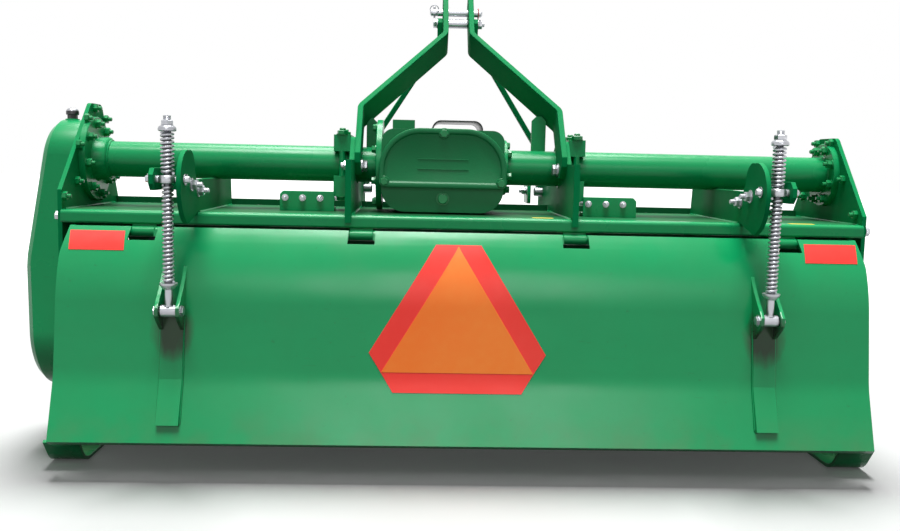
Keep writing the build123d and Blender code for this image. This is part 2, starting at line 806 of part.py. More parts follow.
def make_spring_rod():
    """Rod with its eye and cross bolt at the foot, the lower spring's seat and the upper one's cap."""
    rod = flatted_bar_z(rod_r, rod_x, rod_y, (eye_z, rod_top_z), small_flat_count)
    rod += box(
        (rod_x - eye_half_width, rod_x + eye_half_width),
        (rod_y - eye_half, rod_y + eye_half),
        (eye_z - eye_half, eye_z + eye_half),
    )
    reach = eye_bolt_reach + 2
    rod += flatted_bar_x(eye_bolt_r, (rod_x - reach, rod_x + reach), rod_y, eye_z, small_flat_count)
    rod += flatted_bar_z(seat_r, rod_x, rod_y, (cone_z - seat_t, cone_z), small_flat_count)
    return rod + flatted_bar_z(seat_r, rod_x, rod_y, (cap_z, cap_z + seat_t), small_flat_count)


def make_spring(low, high):
    """A plain sleeve that stands for a coil spring, bore and outside."""
    wall = flatted_bar_z(spring_r, rod_x, rod_y, (low, high), small_flat_count)
    return wall - flatted_bar_z(spring_r - spring_wire, rod_x, rod_y, (low, high), small_flat_count)


# ---------------------------------------------------------------- tailboard
def board_line(inset):
    """The tailboard's line as points from the top down, moved forward by an inset."""
    top = (-board_stand_off, board_top_z)
    points = [*bowed(top, crease_1, -board_bulge), crease_2, board_bend, board_lip]
    return [(y + inset, z) for y, z in points]


def make_tailboard():
    board = across(trace(Polyline(*board_line(board_t / 2)), board_t), (-board_half_width, board_half_width))
    rib_face = make_face(Polyline(*board_line(0)[1:], *reversed(board_line(end_rib_depth)[1:]), close=True))
    for side in (-1, 1):
        board += across(rib_face, sorted((side * board_half_width, side * (board_half_width - end_rib_t))))
        corner = make_face(
            Polyline(
                (side * (board_half_width - board_corner_in), board_top_z + 1),
                (side * (board_half_width + 1), board_top_z + 1),
                (side * (board_half_width + 1), board_top_z - board_corner_down),
                close=True,
            )
        )
        board -= extrude(Plane.XZ * corner, 2 * crease_1[1], both=True)
    notch_half = frame_knuckle_width / 2 + notch_gap
    inner_y = board_t / 2 - board_stand_off
    leaf_face = make_face(
        Polyline(
            (1 - knuckle_r, hinge_z),
            (inner_y, hinge_z + 6),
            (inner_y - 2, hinge_z - 9),
            (0, hinge_z - knuckle_r + 1),
            close=True,
        )
    )
    for x in knuckle_xs:
        notch = (x - notch_half, x + notch_half)
        board -= box(notch, (-2 * board_stand_off, 0), (hinge_z - knuckle_r - notch_gap, board_top_z + 1))
        for side in (-1, 1):
            near = x + side * (frame_knuckle_width / 2 + knuckle_gap)
            far = near + side * board_knuckle_width
            span = sorted((near, far))
            leaf = across(leaf_face, span)
            board += flatted_bar_x(knuckle_r, span, 0, hinge_z, small_flat_count) + leaf
        pin_half = frame_knuckle_width / 2 + knuckle_gap + board_knuckle_width - 1
        pin_x = (x - pin_half, x + pin_half)
        board += flatted_bar_x(hinge_pin_r, pin_x, 0, hinge_z, small_flat_count)
    return board


def make_hinge_lugs():
    lugs = []
    for x in knuckle_xs:
        span = (x - frame_knuckle_width / 2, x + frame_knuckle_width / 2)
        lug = flatted_bar_x(knuckle_r, span, 0, hinge_z, small_flat_count)
        lug += box(span, (0, knuckle_r), (hinge_z, rail_bottom_z))
        lug -= flatted_hole_x(hinge_pin_r + running_gap, span, 0, hinge_z, small_flat_count)
        lugs.append(lug.solids()[0])
    return Compound(lugs)


def make_board_bracket():
    """Ears for the rod's eye on a stiffening strip that follows the tailboard."""
    strip_lines = make_face(
        Polyline(
            (crease_1[0], crease_1[1]),
            (crease_2[0], crease_2[1]),
            (board_bend[0] + strip_foot_in, strip_bottom_z),
            (board_bend[0] + strip_foot_in - strip_t, strip_bottom_z),
            (crease_2[0] - strip_t, crease_2[1]),
            (crease_1[0] - strip_t, crease_1[1]),
            close=True,
        )
    )
    half = strip_width / 2
    bracket = across(strip_lines, (rod_x - half, rod_x + half))
    cut = eye_ear_r * ear_corner
    ear_top = (rod_y - eye_ear_r + cut, eye_z + eye_ear_r)
    ear_face = make_face(
        Polyline(
            (crease_2[0] + rib_root[1], eye_z - rib_low),
            (rod_y - eye_ear_r + cut, eye_z - eye_ear_r),
            (rod_y - eye_ear_r, eye_z - eye_ear_r + cut),
            (rod_y - eye_ear_r, eye_z + eye_ear_r - cut),
            *bowed(ear_top, (rib_tip_y, rib_top_z), rib_hollow),
            (rib_tip_y + rib_top_depth, rib_top_z),
            (crease_1[0] + rib_root[0], crease_1[1]),
            close=True,
        )
    )
    for side in (-1, 1):
        near = rod_x + side * (eye_half_width + eye_ear_gap)
        span = sorted((near, near + side * eye_ear_t))
        bracket += across(ear_face, span)
    in_front = make_face(Polyline(*board_line(0), (60, board_lip[1]), (60, board_top_z), close=True))
    reach = (rod_x - 60, rod_x + 60)
    bracket -= across(in_front, reach)
    bracket -= across(trace(Polyline(*board_line(board_t / 2)), board_t), reach)
    bracket -= flatted_hole_x(ear_hole_r, reach, rod_y, eye_z, small_flat_count)
    return bracket


# ---------------------------------------------------------------- skids
def make_skid():
    """A sole with turned-up ends on a web that is bolted to the side plate's outer face."""
    outer = side_outer_x + skid_t
    line = FilletPolyline(
        *[(skid_rear_y + y, z) for y, z in skid_tail],
        *[(skid_front_y + y, z) for y, z in skid_toe],
        radius=skid_bend_r,
    )
    sole = across(trace(line, skid_t), (outer - skid_width, outer))
    web_y = (skid_rear_y + skid_web_in, skid_front_y)
    web = box((side_outer_x, outer), web_y, (skid_t / 2, skid_web_top_z))
    return sole + web


headstock_pieces = {
    "cheek_plate": make_cheek_plate,
    "lower_hitch_pin": make_hitch_pin,
    "tube_clamp": make_tube_clamp,
    "mast_bar": make_mast_bar,
    "mast_leg": make_mast_leg,
    "foot_plate": make_foot_plate,
}

spring_pieces = {
    "spring_bracket": make_fin(),
    "trunnion": make_trunnion(),
    "spring_rod": make_spring_rod(),
    "lower_spring": make_spring(cone_z, trunnion_z - trunnion_height / 2),
    "upper_spring": make_spring(trunnion_z + trunnion_height / 2, cap_z),
    "tailboard_bracket": make_board_bracket(),
}

right_pieces = {
    "skid": make_skid,
    "stub_axle": make_stub_axle,
}

pieces = {
    "hood_deck": make_hood_deck(),
    "rear_rail": make_rear_rail(),
    "side_plate_left": make_side_plate(-1, left_plate_corner, left_plate_kink_z, left_flange_r),
    "side_plate_right": make_side_plate(1, right_plate_corner, right_plate_kink_z, right_flange_r),
    "cross_tube_left": make_tube(-1, left_flange_r, gearbox_flange_r),
    "cross_tube_right": make_tube(1, right_flange_r, right_gearbox_flange_r),
    "side_drive_case": make_side_drive_case(),
    "rotor_bearing_right": make_rotor_bearing(),
    "rotor_with_tines": make_rotor(),
    "gearbox_housing": make_gearbox_housing(),
    "gearbox_rear_cover": make_gearbox_cover(),
    "input_shaft": make_input_shaft(),
    "input_guard": Pos(headstock_x) * make_input_guard(),
    "mast_spacer": Pos(headstock_x) * make_mast_spacer(),
    "top_link_pin": Pos(headstock_x) * make_top_link_pin(),
    "hinge_lugs": make_hinge_lugs(),
    "tailboard": make_tailboard(),
}
for name, make in headstock_pieces.items():
    piece = make()
    pieces[name + "_right"] = Pos(headstock_x) * piece
    pieces[name + "_left"] = Pos(headstock_x) * other_side(piece)
for name, make in right_pieces.items():
    piece = make()
    pieces[name + "_right"] = piece
    pieces[name + "_left"] = other_side(piece)
for name, piece in spring_pieces.items():
    pieces[name + "_right"] = Pos(spring_shift) * piece
    pieces[name + "_left"] = Pos(spring_shift) * other_side(piece)

limits = Compound([solid for piece in pieces.values() for solid in piece.solids()]).bounding_box()
origin_shift = Vector(-(limits.min.X + limits.max.X) / 2, -(limits.min.Y + limits.max.Y) / 2, -limits.min.Z)

os.makedirs("parts", exist_ok=True)
for name, piece in pieces.items():
    placed = Pos(origin_shift) * piece
    export_step(placed, f"parts/{name}.step")
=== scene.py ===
import json
import logging
import math
from collections.abc import Mapping, Sequence
from dataclasses import dataclass
from enum import Enum
from functools import cached_property
from typing import TypeVar

import bmesh
import bpy
from mathutils import Matrix, Vector, noise


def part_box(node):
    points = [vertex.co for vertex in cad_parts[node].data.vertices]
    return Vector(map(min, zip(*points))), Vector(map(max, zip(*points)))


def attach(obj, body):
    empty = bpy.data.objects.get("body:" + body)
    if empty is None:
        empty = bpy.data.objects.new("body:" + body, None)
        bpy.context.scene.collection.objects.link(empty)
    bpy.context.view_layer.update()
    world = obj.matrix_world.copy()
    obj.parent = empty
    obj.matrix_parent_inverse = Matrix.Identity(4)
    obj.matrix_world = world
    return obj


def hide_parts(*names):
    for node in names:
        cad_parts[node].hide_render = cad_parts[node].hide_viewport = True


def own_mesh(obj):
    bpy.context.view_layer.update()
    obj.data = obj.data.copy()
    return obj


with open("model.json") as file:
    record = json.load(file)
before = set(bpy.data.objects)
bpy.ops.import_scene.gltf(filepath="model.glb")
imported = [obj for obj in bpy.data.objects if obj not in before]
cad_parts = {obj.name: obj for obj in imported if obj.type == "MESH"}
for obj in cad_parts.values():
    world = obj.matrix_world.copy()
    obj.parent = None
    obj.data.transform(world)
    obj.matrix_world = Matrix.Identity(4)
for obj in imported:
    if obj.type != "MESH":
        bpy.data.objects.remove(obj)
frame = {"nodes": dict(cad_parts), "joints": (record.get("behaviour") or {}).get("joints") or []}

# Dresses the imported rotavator: its paint, zinc, springs, bolts, welds, emblem and the studio round it.
# X runs across the machine to its right, +Y forward to the tractor and +Z up, all in metres.

LOG = logging.getLogger("rotavator")
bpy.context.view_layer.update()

Colour = tuple[float, float, float]
Point2 = tuple[float, float]
Point3 = tuple[float, float, float]
Profile = tuple[Point2, ...]
Node, Socket, Tree = bpy.types.Node, bpy.types.NodeSocket, bpy.types.NodeTree
Feed = Socket | float | str | tuple[float, ...]
Value = TypeVar("Value")

ACROSS = Vector((1.0, 0.0, 0.0))
FORWARD = Vector((0.0, 1.0, 0.0))
UP = Vector((0.0, 0.0, 1.0))
WAYS = (-1.0, 1.0)

# Edges sharper than these angles stay sharp: on turned and bent pieces, on plates and on fasteners.
TURNED_DEG = 38.0
PLATE_DEG = 32.0
FASTENER_DEG = 25.0

# Points closer together than this are one point.
MERGE = 0.00002
# How far welds and small pieces reach into, or stand off, the face that carries them.
HAIR = 0.0005
SUNK = 0.001


class Side(Enum):
    """The two sides of the machine, seen from behind."""

    LEFT = -1
    RIGHT = 1

    @property
    def word(self) -> str:
        """The side's name as nodes and bodies spell it."""
        return self.name.lower()

    @property
    def out(self) -> Vector:
        """The direction away from the machine's middle."""
        return ACROSS * self.value

    def pick(self, pair: Sequence[Value]) -> Value:
        """The side's own one of two values, of which the left side's is the first."""
        return pair[0 if self is Side.LEFT else 1]

    def outermost(self, low: Vector, high: Vector) -> float:
        """The X of the end of a box that lies away from the machine's middle."""
        return self.pick((low.x, high.x))

    def innermost(self, low: Vector, high: Vector) -> float:
        """The X of the end of a box that lies towards the machine's middle."""
        return self.pick((high.x, low.x))


class Body(Enum):
    """The rigid bodies that pieces ride on."""

    FRAME = "machine_frame"
    ROTOR = "rotor"
    TAILBOARD = "tailboard_body"
    TRUNNION_LEFT = "trunnion_body_left"
    TRUNNION_RIGHT = "trunnion_body_right"
    ROD_LEFT = "rod_body_left"
    ROD_RIGHT = "rod_body_right"


class Slot(Enum):
    """The record's material slots."""

    GREEN = "green_paint"
    BLACK = "black_painted_sheet"
    ZINC = "zinc_plated_steel"
    MACHINED = "machined_steel"
    FORGED = "forged_tine_steel"


def centre_of(node: str) -> Vector:
    """The middle of a CAD node's box."""
    low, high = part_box(node)
    return (low + high) / 2


def joint_of(name: str) -> Mapping:
    """The frame's entry of one joint."""
    return next(joint for joint in frame["joints"] if joint["name"] == name)


HOOD_X = centre_of("hood_deck").x
HINGE_Y = joint_of("tailboard_lift")["pos_m"][1]


def broken_line(points: Sequence[Point2], place: float) -> float:
    """Reads a broken line at a place.

    Args:
        points: The line's corners, each as a place and a value.
        place: The place to read it at.

    Returns:
        The value there, or the last corner's value where the line doesn't reach.
    """
    for (start, first), (end, second) in zip(points, points[1:]):
        if min(start, end) <= place <= max(start, end):
            return first + (second - first) * (place - start) / (end - start)
    return points[-1][1]


def at(x: float, y: float, z: float) -> Vector:
    """A point given from the hood's middle, the tailboard's hinge line and the floor."""
    return Vector((HOOD_X + x, HINGE_Y + y, z))


# ---- shader groups
class Graph:
    """A node tree with short ways to add the nodes that the finishes and the studio use."""

    def __init__(self, tree: Tree) -> None:
        """Takes a tree to add nodes to."""
        self.tree = tree

    def feed(self, node: Node, feeds: Mapping[str | int, Feed]) -> Node:
        """Feeds a node's inputs.

        Args:
            node: The node.
            feeds: For each input, a socket that it reads or a value that it keeps.

        Returns:
            The same node.
        """
        for name, source in feeds.items():
            if isinstance(source, Socket):
                self.tree.links.new(source, node.inputs[name])
            else:
                node.inputs[name].default_value = source
        return node

    def add(self, kind: str, feeds: Mapping[str | int, Feed]) -> Node:
        """Adds a node of a kind and feeds its inputs."""
        return self.feed(self.tree.nodes.new(kind), feeds)

    def calc(self, operation: str, first: Feed, second: Feed = 0.0) -> Socket:
        """Works out a value.

        Args:
            operation: Blender's name of the operation.
            first: A socket or a number.
            second: A socket or a number.

        Returns:
            The result's socket.
        """
        node = self.add("ShaderNodeMath", {0: first, 1: second})
        node.operation = operation
        return node.outputs["Value"]

    def times(self, first: Feed, second: Feed) -> Socket:
        """The product of two sockets or numbers."""
        return self.calc("MULTIPLY", first, second)

    def remap(
        self, source: Socket, low: float, high: float, to_low: Feed = 0.0, to_high: Feed = 1.0
    ) -> Socket:
        """Maps a value between two levels to two others, without going past them."""
        levels = {"Value": source, "From Min": low, "From Max": high, "To Min": to_low, "To Max": to_high}
        return self.add("ShaderNodeMapRange", levels).outputs["Result"]

    def noise(self, scale: Feed, detail: float, stretch: Colour = (1.0, 1.0, 1.0)) -> Socket:
        """A noise on the object's own coordinates.

        Args:
            scale: The noise's scale per metre.
            detail: Its octaves.
            stretch: A factor for each axis.

        Returns:
            The socket of the noise's value.
        """
        place = self.add("ShaderNodeTexCoord", {})
        mapping = self.add("ShaderNodeMapping", {"Vector": place.outputs["Object"], "Scale": stretch})
        vector = mapping.outputs["Vector"]
        return self.add("ShaderNodeTexNoise", {"Vector": vector, "Scale": scale, "Detail": detail}).outputs["Fac"]

    def object_axes(self) -> Mapping[str, Socket]:
        """The object's own coordinates as three values."""
        place = self.add("ShaderNodeTexCoord", {})
        return self.add("ShaderNodeSeparateXYZ", {"Vector": place.outputs["Object"]}).outputs

    def place(self, group: Tree, feeds: Mapping[str | int, Feed]) -> Mapping[str, Socket]:
        """Puts a shared effect into the tree.

        Args:
            group: The effect's group.
            feeds: What its inputs get.

        Returns:
            The effect's outputs.
        """
        node = self.tree.nodes.new("ShaderNodeGroup")
        node.node_tree = group
        return self.feed(node, feeds).outputs


class Effect(Graph):
    """A shared effect under construction, with its inputs and outputs at hand."""

    def __init__(self, name: str, inputs: Mapping[str, Colour | float], outputs: Sequence[str]) -> None:
        """Makes the group with its sockets.

        Args:
            name: The group's name.
            inputs: Each input's name and default, which is a colour or a value.
            outputs: Each output's name. Colour is a colour and the others are values.
        """
        super().__init__(bpy.data.node_groups.new(name, "ShaderNodeTree"))
        interface = self.tree.interface
        for label, default in inputs.items():
            kind, value = ("Color", opaque(default)) if isinstance(default, tuple) else ("Float", default)
            socket = interface.new_socket(name=label, in_out="INPUT", socket_type=f"NodeSocket{kind}")
            socket.default_value = value
        for label in outputs:
            kind = "Color" if label == "Colour" else "Float"
            interface.new_socket(name=label, in_out="OUTPUT", socket_type=f"NodeSocket{kind}")
        self.given = self.add("NodeGroupInput", {}).outputs
        self.result = self.add("NodeGroupOutput", {})

    def end(self, second: str, mask: Socket) -> Tree:
        """Ends the group: its colour turns into another input's colour where a mask says so.

        Args:
            second: The name of the other input.
            mask: How much of it shows.

        Returns:
            The group.
        """
        mix = self.tree.nodes.new("ShaderNodeMix")
        mix.data_type = "RGBA"
        self.feed(mix, {"Factor": mask, "A": self.given["Colour"], "B": self.given[second]})
        self.feed(self.result, {"Colour": mix.outputs["Result"], "Mask": mask})
        return self.tree


def opaque(colour: Colour) -> tuple[float, ...]:
    """A colour with full cover."""
    return *colour, 1.0


class EffectGroups:
    """The shader effects that several finishes share, each built once as a node group."""

    blank: Colour = (0.5, 0.5, 0.5)
    coloured = ("Colour", "Mask")

    @cached_property
    def mottle(self) -> Tree:
        """Drifting of one colour into another in soft patches, with finer specks over it.

        Returns:
            The group.
        """
        group = Effect(
            "paint mottle",
            {"Colour": self.blank, "Second Colour": (0.3, 0.3, 0.3), "Amount": 0.5, "Fine Share": 0.28},
            self.coloured,
        )
        broad = group.remap(group.noise(3.2, 3.0), 0.35, 0.68)
        fine = group.remap(group.noise(46.0, 4.0), 0.42, 0.75)
        fine_share = group.given["Fine Share"]
        broad_part = group.times(broad, group.calc("SUBTRACT", 1.0, fine_share))
        both = group.calc("ADD", broad_part, group.times(fine, fine_share))
        return group.end("Second Colour", group.times(both, group.given["Amount"]))

    @cached_property
    def grime(self) -> Tree:
        """Dust and soil that thickens towards the ground and on faces that look up.

        Returns:
            The group.
        """
        group = Effect(
            "soil and dust",
            {"Colour": self.blank, "Soil": (0.16, 0.115, 0.07), "Reach": 0.25, "Amount": 0.3, "Settling": 0.22},
            self.coloured,
        )
        height = group.calc("DIVIDE", group.object_axes()["Z"], group.given["Reach"])
        low = group.calc("MAXIMUM", group.calc("SUBTRACT", 1.0, height), 0.0)
        surface = group.add("ShaderNodeNewGeometry", {})
        facing = group.add("ShaderNodeSeparateXYZ", {"Vector": surface.outputs["True Normal"]})
        upward = group.calc("MAXIMUM", facing.outputs["Z"], 0.0)
        upward = group.times(upward, group.given["Settling"])
        patches = group.remap(group.noise(11.0, 6.0), 0.38, 0.66)
        mask = group.times(group.calc("ADD", low, upward), patches)
        mask = group.times(mask, group.given["Amount"])
        return group.end("Soil", group.calc("MINIMUM", mask, 1.0))

    @cached_property
    def chips(self) -> Tree:
        """Sparse chips and short scuffs through a coating.

        Returns:
            The group.
        """
        group = Effect(
            "coating chips",
            {"Colour": self.blank, "Under Colour": (0.25, 0.2, 0.17), "Amount": 0.2},
            self.coloured,
        )
        spots = group.remap(group.noise(85.0, 5.0), 0.68, 0.72)
        scuffs = group.remap(group.noise(22.0, 6.0, (1.0, 1.0, 9.0)), 0.69, 0.74)
        where = group.remap(group.noise(5.0, 2.0), 0.45, 0.6)
        mask = group.times(group.calc("MAXIMUM", spots, scuffs), where)
        return group.end("Under Colour", group.times(mask, group.given["Amount"]))

    @cached_property
    def grain(self) -> Tree:
        """The height of a fine grain, for a bump, and a roughness that follows it.

        Returns:
            The group.
        """
        group = Effect(
            "surface grain",
            {"Scale": 120.0, "Low Roughness": 0.2, "High Roughness": 0.4, "Broad Share": 0.4},
            ("Height", "Roughness"),
        )
        given = group.given
        fine = group.noise(given["Scale"], 3.0)
        broad = group.noise(7.0, 4.0)
        height = group.calc("ADD", fine, group.times(broad, given["Broad Share"]))
        roughness = group.remap(broad, 0.3, 0.7, given["Low Roughness"], given["High Roughness"])
        group.feed(group.result, {"Height": height, "Roughness": roughness})
        return group.tree

    @cached_property
    def stains(self) -> Tree:
        """Oily rust that has run down the sheet below the two spring rods' pins.

        Returns:
            The group.
        """
        group = Effect(
            "pivot stains",
            {
                "Colour": self.blank, "Stain": (0.035, 0.038, 0.022), "Middle": 0.0446, "Spread": 0.669,
                "Height": 0.326, "Half Width": 0.052, "Half Height": 0.07, "Amount": 0.85,
            },
            self.coloured,
        )
        given, axes = group.given, group.object_axes()
        sideways = group.calc("ABSOLUTE", group.calc("SUBTRACT", axes["X"], given["Middle"]))
        sideways = group.calc("DIVIDE", group.calc("SUBTRACT", sideways, given["Spread"]), given["Half Width"])
        upward = group.calc("SUBTRACT", axes["Z"], given["Height"])
        upward = group.calc("DIVIDE", upward, given["Half Height"])
        squares = group.calc("ADD", group.times(sideways, sideways), group.times(upward, upward))
        ragged = group.times(group.noise(26.0, 4.0, (1.6, 1.0, 0.5)), 1.1)
        inside = group.remap(group.calc("ADD", squares, ragged), 1.55, 0.75)
        return group.end("Stain", group.times(inside, given["Amount"]))

    @cached_property
    def dents(self) -> Tree:
        """The height of the slow waves that a pressed or welded sheet keeps.

        Returns:
            The group.
        """
        group = Effect("sheet waves", {"Quick Share": 0.25}, ("Height",))
        slow = group.noise(2.6, 1.0, (1.0, 1.0, 1.8))
        quick = group.times(group.noise(8.0, 1.0, (0.7, 1.0, 1.6)), group.given["Quick Share"])
        group.feed(group.result, {"Height": group.calc("ADD", slow, quick)})
        return group.tree


EFFECTS = EffectGroups()


# ---- finishes
@dataclass(frozen=True)
class Finish:
    """A coated or bare metal surface, made of the shared effects."""

    name: str
    colour: Colour
    second: Colour
    mottle: float = 0.4
    under: Colour = (0.22, 0.2, 0.18)
    chips: float = 0.0
    soil: float = 0.0
    soil_reach: float = 0.25
    metallic: float = 0.0
    rough_low: float = 0.25
    rough_high: float = 0.4
    grain_scale: float = 120.0
    bump: float = 0.05
    grain_depth: float = 0.0006
    wave: float = 0.0
    wave_depth: float = 0.006
    specular: float = 0.5
    stained: bool = False
    slot: Slot = Slot.GREEN

    @cached_property
    def material(self) -> bpy.types.Material:
        """Builds the material when the first piece asks for it.

        Returns:
            The material.
        """
        material = bpy.data.materials.new(self.name)
        material.use_nodes = True
        graph = Graph(material.node_tree)
        colour = graph.place(
            EFFECTS.mottle,
            {"Colour": opaque(self.colour), "Second Colour": opaque(self.second), "Amount": self.mottle},
        )["Colour"]
        if self.chips:
            worn = {"Colour": colour, "Under Colour": opaque(self.under), "Amount": self.chips}
            colour = graph.place(EFFECTS.chips, worn)["Colour"]
        if self.soil:
            soiled = {"Colour": colour, "Reach": self.soil_reach, "Amount": self.soil}
            colour = graph.place(EFFECTS.grime, soiled)["Colour"]
        if self.stained:
            colour = graph.place(EFFECTS.stains, {"Colour": colour})["Colour"]
        grain = graph.place(
            EFFECTS.grain,
            {"Scale": self.grain_scale, "Low Roughness": self.rough_low, "High Roughness": self.rough_high},
        )
        graph.feed(graph.tree.nodes["Principled BSDF"], {
            "Metallic": self.metallic, "Specular IOR Level": self.specular, "Base Color": colour,
            "Roughness": grain["Roughness"], "Normal": self._relief(graph, grain["Height"]),
        })
        return material

    def _relief(self, graph: Graph, grain: Socket) -> Socket:
        """The bump of the grain, over the sheet's waves where the finish has them.

        Args:
            graph: The material's nodes.
            grain: The grain's height.

        Returns:
            The socket of the bumped normal.
        """
        fine = graph.add("ShaderNodeBump", {"Strength": self.bump, "Distance": self.grain_depth, "Height": grain})
        if self.wave:
            waves = graph.place(EFFECTS.dents, {})["Height"]
            slow = graph.add("ShaderNodeBump", {"Strength": self.wave, "Distance": self.wave_depth, "Height": waves})
            graph.feed(fine, {"Normal": slow.outputs["Normal"]})
        return fine.outputs["Normal"]


class Coat(Enum):
    """Every finish on the machine."""

    GREEN = Finish(
        "gloss green paint", (0.0025, 0.29, 0.092), (0.002, 0.235, 0.072), mottle=0.45, chips=0.3,
        under=(0.02, 0.12, 0.045), soil=0.3, soil_reach=0.13, rough_low=0.22, rough_high=0.34,
        grain_scale=150.0, bump=0.04, wave=0.25, specular=0.22,
    )
    SHEET_GREEN = Finish(
        "gloss green sheet paint", (0.0025, 0.33, 0.106), (0.002, 0.27, 0.084), chips=0.25,
        under=(0.02, 0.12, 0.045), soil=0.4, soil_reach=0.16, rough_low=0.17, rough_high=0.27,
        grain_scale=160.0, bump=0.035, wave=0.5, specular=0.35, stained=True,
    )
    # The same green paint made darker: painted shade on the gearbox housing, its cover and its seal ring.
    SHADE_GREEN = Finish(
        "green casting paint", (0.003, 0.19, 0.06), (0.0025, 0.14, 0.043), mottle=0.6, chips=0.3,
        under=(0.02, 0.1, 0.04), soil=0.25, soil_reach=0.2, rough_low=0.3, rough_high=0.46,
        grain_scale=210.0, bump=0.3, wave=0.1, specular=0.25,
    )
    # A matt, low-gloss green whose colour is also darker than the gloss green: the matt finish is real, and the darker
    # colour is painted shade.
    PLATE_GREEN = Finish(
        "flat green paint", (0.0025, 0.25, 0.08), (0.002, 0.18, 0.056), mottle=0.6, chips=0.35,
        under=(0.05, 0.1, 0.045), soil=0.35, soil_reach=0.16, rough_low=0.5, rough_high=0.68,
        grain_scale=150.0, wave=0.2, specular=0.04,
    )
    # The deck's green is far darker than the gloss green: painted shade on the deck's top, with real dust and soil
    # over it.
    DECK_GREEN = Finish(
        "dusty green paint", (0.004, 0.12, 0.042), (0.012, 0.085, 0.03), mottle=0.8, chips=0.4,
        under=(0.06, 0.07, 0.03), soil=0.5, soil_reach=0.16, rough_low=0.5, rough_high=0.7,
        bump=0.08, wave=0.3, specular=0.05,
    )
    ZINC = Finish(
        "bright zinc plate", (0.5, 0.51, 0.54), (0.34, 0.35, 0.38), mottle=0.6, chips=0.3,
        under=(0.26, 0.22, 0.17), metallic=0.85, rough_low=0.24, grain_scale=260.0, bump=0.08, slot=Slot.ZINC,
    )
    # A rougher zinc made darker than the bright zinc: painted shade on the rod's core where the coils shade it.
    DULL_ZINC = Finish(
        "dull zinc plate", (0.16, 0.165, 0.18), (0.1, 0.1, 0.11), mottle=0.6, chips=0.4, under=(0.2, 0.15, 0.1),
        metallic=0.6, rough_low=0.35, rough_high=0.55, grain_scale=240.0, bump=0.12, specular=0.3,
        slot=Slot.ZINC,
    )
    BOLT_GREEN = Finish(
        "green painted fasteners", (0.003, 0.25, 0.073), (0.002, 0.17, 0.048), mottle=0.5, chips=0.35,
        under=(0.08, 0.17, 0.09), rough_low=0.24, rough_high=0.36, specular=0.4,
    )
    BLACK = Finish(
        "black sheet paint", (0.018, 0.018, 0.02), (0.035, 0.035, 0.038), mottle=0.5, chips=0.35,
        under=(0.12, 0.11, 0.1), soil=0.2, rough_low=0.3, rough_high=0.5, bump=0.12, slot=Slot.BLACK,
    )
    FORGED = Finish(
        "oil blacked tine steel", (0.05, 0.058, 0.085), (0.1, 0.105, 0.12), mottle=0.7, chips=0.6,
        under=(0.24, 0.17, 0.12), soil=0.55, soil_reach=0.4, metallic=0.75, rough_low=0.32, rough_high=0.55,
        grain_scale=90.0, bump=0.2, slot=Slot.FORGED,
    )
    MACHINED = Finish(
        "oiled machined steel", (0.46, 0.46, 0.47), (0.36, 0.35, 0.34), mottle=0.6, chips=0.3,
        under=(0.2, 0.14, 0.09), metallic=0.95, rough_low=0.2, rough_high=0.38, grain_scale=320.0, bump=0.1,
        slot=Slot.MACHINED,
    )
    DARK_BOLT = Finish(
        "black oxide fasteners", (0.06, 0.06, 0.065), (0.16, 0.09, 0.07), mottle=0.6, chips=0.4,
        metallic=0.7, rough_low=0.32, rough_high=0.5, bump=0.1, slot=Slot.BLACK,
    )
    ORANGE = Finish(
        "fluorescent orange sheet", (0.98, 0.2, 0.022), (0.99, 0.3, 0.05), mottle=0.7, specular=0.3,
        rough_low=0.4, rough_high=0.52, grain_scale=400.0, bump=0.03,
    )
    RED = Finish(
        "retroreflective red sheet", (0.93, 0.04, 0.03), (0.96, 0.075, 0.055), mottle=0.7,
        rough_low=0.3, rough_high=0.45, grain_scale=700.0, bump=0.15, specular=0.3,
    )
    YELLOW = Finish(
        "plain yellow label", (0.8, 0.55, 0.03), (0.62, 0.42, 0.03), mottle=0.5, chips=0.3,
        rough_low=0.35, rough_high=0.5,
    )
    RED_RING = Finish(
        "red tinted spring wire", (0.45, 0.06, 0.05), (0.6, 0.3, 0.28), mottle=0.6, metallic=0.6, slot=Slot.ZINC,
    )


